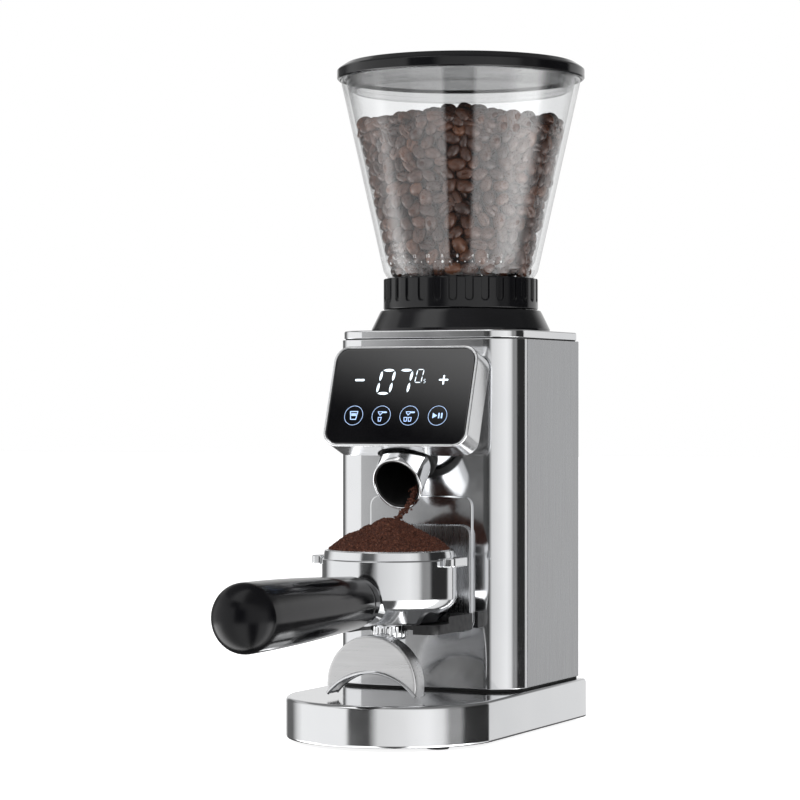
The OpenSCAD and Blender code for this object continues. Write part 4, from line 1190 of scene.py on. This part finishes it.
def make_bowl():
    r, z0, z1 = BOWL_R, bowl_low.z, RIM_Z
    profile = [
        (8, z0, 0.3), (26, z0, 4), (r, z0 + 11, 9), (r, z1 - 5.2, 0.5), (r - 0.7, z1 - 4.6, 0.3), (r - 1.5, z1, 0.5),
        (r - 3.0, z1, 0.4), (r - 3.0, z1 - 4.8, 0.5), (r - 2, z1 - 6, 0.5), (r - 2, z0 + 12, 8), (25, z0 + 2, 3),
        (8, z0 + 2, 0.3),
    ]
    parts = [revolve("bowl", profile, STEEL, BOWL, 160, True, 8)]
    for side in (-1, 1):
        x0, x1 = sorted((side * (r - 1.2), side * (bowl_high.x - bowl_low.x) / 2))
        parts.append(slab("lug", rect(x0, x1, -10, 10, 2.2), 97, 102, 0.7, 0.7, STEEL, BOWL, 6))
    neck = [(0, 30, 0), (14, 31, 0.5), (12.0, 36.2, 1.5), (11.6, 37.6, 0.2), (0, 37.6, 0)]
    parts.append(revolve("neck", neck, STEEL, at(AXIS.x, BOWL_Y, HANDLE_Z) @ ALONG_HANDLE, 64, False))
    finish_piece(join("portafilter_bowl_steel", parts), "portafilter", "polished_steel", "portafilter_bowl")
    basket = [
        (0, 77, 0), (26.8, 77, 2), (29.6, 80.5, 1), (29.6, z1 - 1.2, 0.3), (r - 3.1, z1 - 1.2, 0.2),
        (r - 3.1, z1 + 0.35, 0.4), (29, z1 + 0.1, 0.5), (29, 80.8, 1), (26.6, 77.6, 1), (0, 77.6, 0),
    ]
    piece = revolve("filter_basket_steel", basket, BASKET_STEEL, BOWL, 128, False)
    finish_piece(piece, "portafilter", "basket_steel", "filter_basket")


def make_handle():
    low, high = box("handle_ferrule")
    r = (high.x - low.x) / 2
    place = at(AXIS.x, high.y, HANDLE_Z) @ ALONG_HANDLE
    span = high.y - low.y
    ring = [(6, 0, 0), (r - 0.6, 0, 0.4), (r + 0.5, 1.0, 0.5), (r + 0.5, span - 2.6, 0.5), (r - 0.3, span - 2.2, 0.2),
            (r - 0.3, span - 1.6, 0.2), (r + 0.6, span - 1.3, 0.3), (r + 0.6, span, 0.2), (6, span, 0)]
    ferrule = revolve("handle_ferrule_moulded", ring, GLOSS, place, 96)
    finish_piece(ferrule, "portafilter", "gloss_black", "handle_ferrule")
    length = grip_high.y - grip_low.y
    end = (grip_high.x - grip_low.x) / 2
    dome, neck = 12.0, 14.3          # length of the rounded end, radius next to the ferrule
    body = length - dome
    profile = [(0, 0, 0), (12.6, 0, 0.6), (neck, 1.6, 1.4)]
    for k, a in enumerate(quarter(18)[1:], 1):
        profile.append((neck + (end - neck) * math.sin(a), 3 + (body - 3) * k / 18, 0))
    profile += [(end * math.cos(a), body + dome * math.sin(a), 0) for a in quarter(14)[1:-1]] + [(0, length, 0)]
    place = at(AXIS.x, grip_high.y, HANDLE_Z) @ ALONG_HANDLE
    grip = revolve("handle_grip_moulded", profile, GRIP, place, 128, False)
    grip.data.materials.append(GRIP_END)
    for face in grip.data.polygons:
        if grip_high.y - face.center.y / MM > body + 1:
            face.material_index = 1
    finish_piece(grip, "portafilter", "gloss_black", "handle_grip")


def moon_outline(outer_r, outer_z, arch_r, arch_z, steps):
    """Half-moon outline: an outer arc above and an arch below, from tip to tip."""
    z = (outer_r ** 2 - arch_r ** 2 + arch_z ** 2 - outer_z ** 2) / (2 * (arch_z - outer_z))
    x = math.sqrt(max(outer_r ** 2 - (z - outer_z) ** 2, 0))
    first = math.atan2(z - outer_z, x)
    points = []
    for k in range(steps + 1):
        a = first + (math.pi - 2 * first) * k / steps
        points.append((outer_r * math.cos(a), outer_z + outer_r * math.sin(a)))
    first = math.atan2(z - arch_z, x)
    for k in range(1, steps):
        a = math.pi - first - (math.pi - 2 * first) * k / steps
        points.append((arch_r * math.cos(a), arch_z + arch_r * math.sin(a)))
    return points


def make_spout():
    half, rise, low = 26.5, 13.0, 26.6          # the arch between the two tips
    outer_r = 26.8
    outer_z = 59.8 - outer_r
    arch_r = (half * half + rise * rise) / (2 * rise)
    arch_z = low + rise - arch_r
    thick = 12.0
    middle = spout_low.y + thick / 2

    def ring(inset, y, open_inside=0.0):
        outline = moon_outline(outer_r - inset, outer_z, arch_r + inset - open_inside, arch_z, 44)
        return [(x, z, y) for x, z in outline]

    edge = 0.9
    levels = [(-thick / 2, 1.2 + SUPPORT)]
    levels += [(-thick / 2 + edge * (1 - math.cos(a)), edge * (1 - math.sin(a))) for a in quarter(4)]
    levels += [(thick / 2 - edge * (1 - math.sin(a)), edge * (1 - math.cos(a))) for a in quarter(4)]
    levels.append((thick / 2, 1.2 + SUPPORT))
    verts, faces = rings_to_mesh([ring(inset, y) for y, inset in levels])
    place = at(AXIS.x, middle) @ FACING_FRONT
    body = mesh_piece("spout", verts, faces, SPOUT_STEEL, place)
    verts, faces = rings_to_mesh([ring(1.5, y, 6.0) for y in (-thick / 2 + 1.5, thick / 2 - 1.5)])
    cut(body, mesh_piece("hollow", verts, faces, LINER, place))
    parts = [body]
    # rolled edges along both rims of the arch
    count = 40
    first = math.atan2(low + 0.4 - arch_z, half - 0.6)
    for y in (-thick / 2 + 0.2, thick / 2 - 0.2):
        tube = []
        for k in range(count + 1):
            a = first + (math.pi - 2 * first) * k / count
            out = Vector((math.cos(a), math.sin(a), 0))
            centre = out * (arch_r + 0.35) + Vector((0, arch_z, y))
            tube.append([centre + out * across + Vector((0, 0, up)) for across, up, _ in circle(1.0, 0, 12)])
        verts, faces = rings_to_mesh(tube)
        parts.append(mesh_piece("roll", verts, faces, STEEL, place))
    parts.append(slab("neck", rect(-7, 7, 50, NUT_LOW + 0.2, 1.5), 0, BOWL_Y - middle + 6, 0, 1.0, STEEL,
                      at(AXIS.x, BOWL_Y + 6) @ FACING_FRONT, 4))
    parts.append(knurled_nut())
    finish_piece(join("double_spout_steel", parts), "portafilter", "polished_steel", "double_spout")


def knurled_nut():
    """Round nut under the bowl, with shallow grip flutes."""
    count, samples, r = 18, 8, 10.0
    top = bowl_low.z
    rows = [(NUT_LOW, 0.6), (NUT_LOW + 0.3, 0.2), (NUT_LOW + 0.8, 0), (top - 2.6, 0), (top - 2.0, 0.2),
            (top - 1.8, 1.6), (top, 1.6)]
    rings = []
    for z, inset in rows:
        ring = []
        for i in range(count * samples):
            a = TAU * i / (count * samples)
            dip = 0.45 * max(0.0, math.cos(a * count)) ** 2 if inset == 0 else 0
            ring.append(((r - inset - dip) * math.cos(a), (r - inset - dip) * math.sin(a), z))
        rings.append(ring)
    verts, faces = rings_to_mesh(rings)
    return mesh_piece("nut", verts, faces, STEEL, BOWL)


make_bowl()
make_handle()
make_spout()


# ---------------------------------------------------------------- ground coffee

def grounds_height(x, y, seeds):
    """Height of the heap above the rim at x, y from the bowl's centre."""
    r = math.hypot(x, y)
    reach = BOWL_R - 3.4
    t = min(r / reach, 1)
    height = 17.0 * (1 - t) ** 0.92 * (1 + 0.35 * t)
    for fx, fy, phase, size in seeds:
        height += size * math.sin(fx * x + fy * y + phase) * (1 - t ** 4)
    return max(height, 0.15)


GRAIN = ((1, 0, 0), (-1, 0, 0), (0, 1, 0), (0, -1, 0), (0, 0, 1), (0, 0, -1))
GRAIN_FACES = ((0, 2, 4), (2, 1, 4), (1, 3, 4), (3, 0, 4), (2, 0, 5), (1, 2, 5), (3, 1, 5), (0, 3, 5))


def make_grounds():
    rng = random.Random(5)
    seeds = []
    for _ in range(26):
        a = rng.uniform(0, TAU)
        f = rng.uniform(0.18, 1.6)
        seeds.append((f * math.cos(a), f * math.sin(a), rng.uniform(0, TAU), 0.32 / (1 + 1.6 * f)))
    rings = []
    radial, around = 90, 220
    reach = BOWL_R - 3.3
    for i in range(radial + 1):
        r = reach * i / radial
        ring = []
        for j in range(around):
            a = TAU * j / around
            x, y = r * math.cos(a), r * math.sin(a)
            jitter = 0.0 if i == radial else rng.uniform(-0.22, 0.22)
            ring.append((x, y, RIM_Z + grounds_height(x, y, seeds) + jitter))
        rings.append(ring)
    verts = [(0, 0, RIM_Z + grounds_height(0, 0, seeds))] + [p for ring in rings[1:] for p in ring]
    faces = [(0, 1 + i, 1 + (i + 1) % around) for i in range(around)]
    for j in range(radial - 1):
        a, b = 1 + j * around, 1 + (j + 1) * around
        faces += [(a + i, b + i, b + (i + 1) % around, a + (i + 1) % around) for i in range(around)]
    top = mesh_piece("heap", verts, faces, GROUNDS, BOWL, False, math.radians(60))
    verts, faces = [], []
    for _ in range(9000):
        r = (reach - 0.6) * math.sqrt(rng.random())
        a = rng.uniform(0, TAU)
        x, y = r * math.cos(a), r * math.sin(a)
        centre = Vector((x, y, RIM_Z + grounds_height(x, y, seeds) + rng.uniform(-0.1, 0.35)))
        turn = Euler([rng.uniform(0, TAU) for _ in range(3)]).to_matrix()
        size = rng.uniform(0.28, 0.62)
        faces += [tuple(len(verts) + i for i in f) for f in GRAIN_FACES]
        for x, y, z in GRAIN:
            tip = (x * size * rng.uniform(0.7, 1.3), y * size * rng.uniform(0.6, 1.1), z * size * rng.uniform(0.5, 1.0))
            verts.append(centre + turn @ Vector(tip))
    loose = mesh_piece("grains", verts, faces, GROUNDS, BOWL, False, math.radians(20))
    fill = [(0, 78, 0), (26.4, 78, 0.5), (28.8, 81, 0.5), (28.8, RIM_Z + 0.2, 0.1), (BOWL_R - 3.4, RIM_Z + 0.2, 0),
            (0, RIM_Z + 0.3, 0)]
    bottom = revolve("fill", fill, GROUNDS, BOWL, 96, False)
    heap = join("ground_coffee_heap", [top, loose, bottom])
    finish_piece(heap, "portafilter", "ground_coffee", "ground_coffee")


def make_stream():
    """A short stream of grounds from the chute's mouth down to the heap."""
    rng = random.Random(77)
    turn = CHUTE.to_3x3()
    along = turn @ Vector((0, 0, 1))
    under = turn @ Vector((0, 1, 0))
    under = under if under.z < 0 else -under
    path = [
        MOUTH + along * 5 + under * 8 + Vector((7.5, 0, 0)),
        MOUTH + along * -3 + under * 9.5 + Vector((7, 0, 0)),
        Vector((AXIS.x + 2.5, BOWL_Y, 119.5)),
    ]
    verts, faces = [], []
    count = 330
    for k in range(count):
        t = k / (count - 1) * 2
        leg = min(int(t), 1)
        spread = 2.6 - 0.5 * t
        centre = path[leg].lerp(path[leg + 1], t - leg)
        centre = centre + Vector([rng.gauss(0, 0.45) * spread for _ in range(3)])
        size = rng.uniform(0.55, 1.0)
        spin = Euler([rng.uniform(0, TAU) for _ in range(3)]).to_matrix()
        faces += [tuple(len(verts) + i for i in f) for f in GRAIN_FACES]
        verts += [centre + spin @ (Vector(p) * size * rng.uniform(0.7, 1.2)) for p in GRAIN]
    finish_piece(mesh_piece("falling_grounds", verts, faces, GROUNDS), "housing", "ground_coffee")


make_grounds()
make_stream()


# ---------------------------------------------------------------- CAD pieces that stay

KEPT = {
    "base_plate": (MATTE, 0.3), "base_screws": (ZINC, 0.3), "plinth_gasket": (RUBBER, 0.3),
    "chassis_frame": (FRAME_STEEL, 0.4), "rear_screws": (ZINC, 0.4), "cord_gland": (RUBBER, 0.5),
    "top_gasket": (RUBBER, 0.1), "display_board": (BOARD, 0.1), "display_screws": (ZINC, 0.2),
    "outlet_duct": (MATTE, 0.4), "cradle_fork": (MATTE, 0.8), "grind_chamber": (ALLOY, 0.5),
    "shaft_bearings": (TOOL_STEEL, 0.3), "motor_can": (FRAME_STEEL, 0.6), "motor_end_cap": (MATTE, 0.3),
    "motor_magnets": (FRAME_STEEL, 0.3), "gearbox_case": (ALLOY, 0.5), "gearbox_cover": (ALLOY, 0.5),
    "idler_axle": (TOOL_STEEL, 0.2), "control_board": (BOARD, 0.2), "power_board": (BOARD, 0.2),
    "motor_rotor": (COPPER, 0.2), "motor_pinion": (BRASS, 0), "cooling_fan": (NYLON, 0.2),
    "idler_gear": (NYLON, 0), "drive_shaft": (TOOL_STEEL, 0.3), "output_gear": (BRASS, 0), "impeller": (NYLON, 0.3),
    "cone_burr": (TOOL_STEEL, 0), "burr_bolt": (ZINC, 0.3), "burr_carrier": (BRASS, 0.3),
    "burr_ring": (TOOL_STEEL, 0), "hopper_neck": (MATTE, 0.5),
}


def dress_cad(node, material, edge):
    """A CAD piece keeps its shape, gets its material, and has its edges softened by modifiers."""
    piece = nodes[node]
    piece.data.materials.clear()
    piece.data.materials.append(material)
    for polygon in piece.data.polygons:
        polygon.material_index = 0
    if edge:
        weld = piece.modifiers.new("weld", "WELD")
        weld.merge_threshold = 1e-6
        flat = piece.modifiers.new("flat", "DECIMATE")
        flat.decimate_type = "DISSOLVE"
        flat.angle_limit = math.radians(0.5)
        bevel = piece.modifiers.new("edge", "BEVEL")
        bevel.width = edge * MM
        bevel.segments = 3
        bevel.limit_method = "ANGLE"
        bevel.angle_limit = math.radians(35)
        bevel.harden_normals = True


for kept_node, (kept_material, kept_edge) in KEPT.items():
    dress_cad(kept_node, kept_material, kept_edge)


# ---------------------------------------------------------------- studio

VIEW_AZIMUTH = math.radians(25)
CAMERA_DISTANCE = 1650
CAMERA_HEIGHT = 185
CAMERA_LEFT = 35.3


def make_camera():
    data = bpy.data.cameras.new("camera")
    data.lens = 127.7
    data.sensor_width = 36
    data.shift_y = 0.00625
    camera = bpy.data.objects.new("camera", data)
    across = Vector((math.cos(VIEW_AZIMUTH), math.sin(VIEW_AZIMUTH), 0))
    ahead = Vector((-math.sin(VIEW_AZIMUTH), math.cos(VIEW_AZIMUTH), 0))
    spot = AXIS - across * CAMERA_LEFT - ahead * CAMERA_DISTANCE + Vector((0, 0, CAMERA_HEIGHT))
    camera.location = spot * MM
    camera.rotation_euler = (math.pi / 2, 0, VIEW_AZIMUTH)
    bpy.context.scene.collection.objects.link(camera)
    bpy.context.scene.camera = camera


def softbox(name, azimuth, height, distance, width, tall, radiance):
    """An area light that faces the object, at an azimuth in degrees from the front; lengths in metres."""
    data = bpy.data.lights.new(name, "AREA")
    data.shape = "RECTANGLE"
    data.size = width
    data.size_y = tall
    data.energy = radiance * math.pi * width * tall
    lamp = bpy.data.objects.new(name, data)
    a = math.radians(azimuth)
    lamp.location = Vector((math.sin(a) * distance, -math.cos(a) * distance, height))
    lamp.rotation_euler = (Vector((0, 0, 0.2)) - lamp.location).to_track_quat("-Z", "Y").to_euler()
    lamp.visible_camera = False
    lamp.visible_glossy = False
    bpy.context.scene.collection.objects.link(lamp)


# What shows in steel and clear plastic: (degrees from the front towards +X, brightness) all round the object.
# WALLS stand level with it and PANELS lower, where the hopper's leaning wall mirrors them. UPPER and TOP are above.
WALLS = (
    (-180, 0.9), (-142, 0.8), (-132, 0.15), (-112, 0.15), (-100, 0.8), (-90, 1.1), (-27.6, 1.1), (-25.6, 0.45),
    (-24.2, 0.10), (-3, 0.05), (7, 0.85), (60, 1.1), (76, 0.9), (84, 0.30), (97, 0.34), (103, 0.03), (141, 0.03),
    (147, 0.85), (180, 0.9),
)
PANELS = (
    (-180, 0.1), (-108, 0.1), (-98, 4.5), (-76, 4.2), (-60, 1.15), (-32, 1.1), (-24, 1.6), (4, 1.9), (8, 0.1),
    (36, 0.1), (41, 1.9), (72, 2.3), (88, 4.0), (110, 4.2), (121, 1.0), (146, 0.9), (151, 0.1), (180, 0.1),
)
UPPER = (
    (-180, 0.2), (-70, 0.9), (-45, 0.8), (-38, 0.02), (-22, 0.02), (-12, 0.8), (20, 0.9), (60, 0.5), (120, 0.1),
    (180, 0.2),
)
TOP = ((-180, 0.12), (-60, 0.3), (-42, 1.7), (-18, 1.7), (0, 0.3), (60, 0.25), (180, 0.12))


def make_world():
    """White to the camera; walls with bright and dark stretches to light the object and show in its steel."""
    world = bpy.data.worlds.new("studio")
    world.use_nodes = True
    tree = world.node_tree
    new, link = tree.nodes.new, tree.links.new
    coords = new("ShaderNodeTexCoord")
    turn = new("ShaderNodeMapping")
    turn.inputs["Rotation"].default_value = (0, 0, math.pi / 2)
    link(coords.outputs["Generated"], turn.inputs["Vector"])
    radial = new("ShaderNodeTexGradient")
    radial.gradient_type = "RADIAL"
    link(turn.outputs["Vector"], radial.inputs["Vector"])
    split = new("ShaderNodeSeparateXYZ")
    link(coords.outputs["Generated"], split.inputs["Vector"])

    def ring(stops):
        """Brightness by compass direction."""
        curve = new("ShaderNodeFloatCurve")
        marks = curve.mapping.curves[0].points
        top = max(bright for _, bright in stops)
        while len(marks) < len(stops):
            marks.new(0.5, 0.5)
        for mark, (degrees, bright) in zip(marks, stops):
            mark.location = ((degrees + 180) / 360, bright / top)
            mark.handle_type = "VECTOR"
        curve.mapping.update()
        link(radial.outputs["Fac"], curve.inputs["Value"])
        scaled = new("ShaderNodeMath")
        scaled.operation = "MULTIPLY"
        scaled.inputs[1].default_value = top
        link(curve.outputs["Value"], scaled.inputs[0])
        return scaled.outputs[0]

    def blend(first, second, low, high):
        """first below the elevation low, second above high, in degrees."""
        rise = new("ShaderNodeMapRange")
        rise.interpolation_type = "SMOOTHSTEP"
        rise.inputs["From Min"].default_value = math.sin(math.radians(low))
        rise.inputs["From Max"].default_value = math.sin(math.radians(high))
        link(split.outputs["Z"], rise.inputs["Value"])
        mix = new("ShaderNodeMix")
        link(rise.outputs["Result"], mix.inputs["Factor"])
        link(first, mix.inputs["A"])
        link(second, mix.inputs["B"])
        return mix.outputs["Result"]

    lower = blend(ring(PANELS), ring(WALLS), -13, -9)
    room = blend(lower, blend(ring(UPPER), ring(TOP), 33.4, 35.6), 14, 26)
    dim = tree.nodes["Background"]
    link(room, dim.inputs["Strength"])
    dim.inputs["Color"].default_value = (1, 1, 1, 1)
    bright = new("ShaderNodeBackground")
    bright.inputs["Color"].default_value = (1, 1, 1, 1)
    path = new("ShaderNodeLightPath")
    mix = new("ShaderNodeMixShader")
    link(path.outputs["Is Camera Ray"], mix.inputs["Fac"])
    link(dim.outputs["Background"], mix.inputs[1])
    link(bright.outputs["Background"], mix.inputs[2])
    link(mix.outputs["Shader"], tree.nodes["World Output"].inputs["Surface"])
    bpy.context.scene.world = world


def make_floor():
    """A plain pale floor that the camera sees nearly white, so that only the soft contact shadow shows."""
    mesh = bpy.data.meshes.new("floor")
    mesh.from_pydata([(-8, -8, 0), (8, -8, 0), (8, 8, 0), (-8, 8, 0)], [], [(0, 1, 2, 3)])
    floor = bpy.data.objects.new("floor", mesh)
    paper = bpy.data.materials.new("paper")
    paper.use_nodes = True
    tree = paper.node_tree
    shader = tree.nodes["Principled BSDF"]
    shader.inputs["Base Color"].default_value = (0.82, 0.82, 0.82, 1)
    shader.inputs["Roughness"].default_value = 0.9
    glow = tree.nodes.new("ShaderNodeEmission")
    glow.inputs["Strength"].default_value = 0.88
    path = tree.nodes.new("ShaderNodeLightPath")
    share = tree.nodes.new("ShaderNodeMixShader")
    both = tree.nodes.new("ShaderNodeAddShader")
    tree.links.new(shader.outputs["BSDF"], both.inputs[0])
    tree.links.new(glow.outputs["Emission"], both.inputs[1])
    tree.links.new(path.outputs["Is Camera Ray"], share.inputs["Fac"])
    tree.links.new(shader.outputs["BSDF"], share.inputs[1])
    tree.links.new(both.outputs["Shader"], share.inputs[2])
    tree.links.new(share.outputs["Shader"], tree.nodes["Material Output"].inputs["Surface"])
    mesh.materials.append(paper)
    floor.visible_glossy = False
    bpy.context.scene.collection.objects.link(floor)


def make_studio():
    make_floor()
    make_world()
    softbox("key", -55, 1.1, 1.3, 1.0, 0.8, 2.4)
    softbox("fill", 70, 0.9, 1.4, 0.8, 0.8, 1.6)
    softbox("overhead", 0, 1.9, 0.05, 0.8, 0.8, 2.2)


make_camera()
make_studio()
scene = bpy.context.scene
scene.view_settings.view_transform = "Standard"
scene.cycles.use_denoising = True
scene.cycles.max_bounces = 12
scene.cycles.transparent_max_bounces = 16
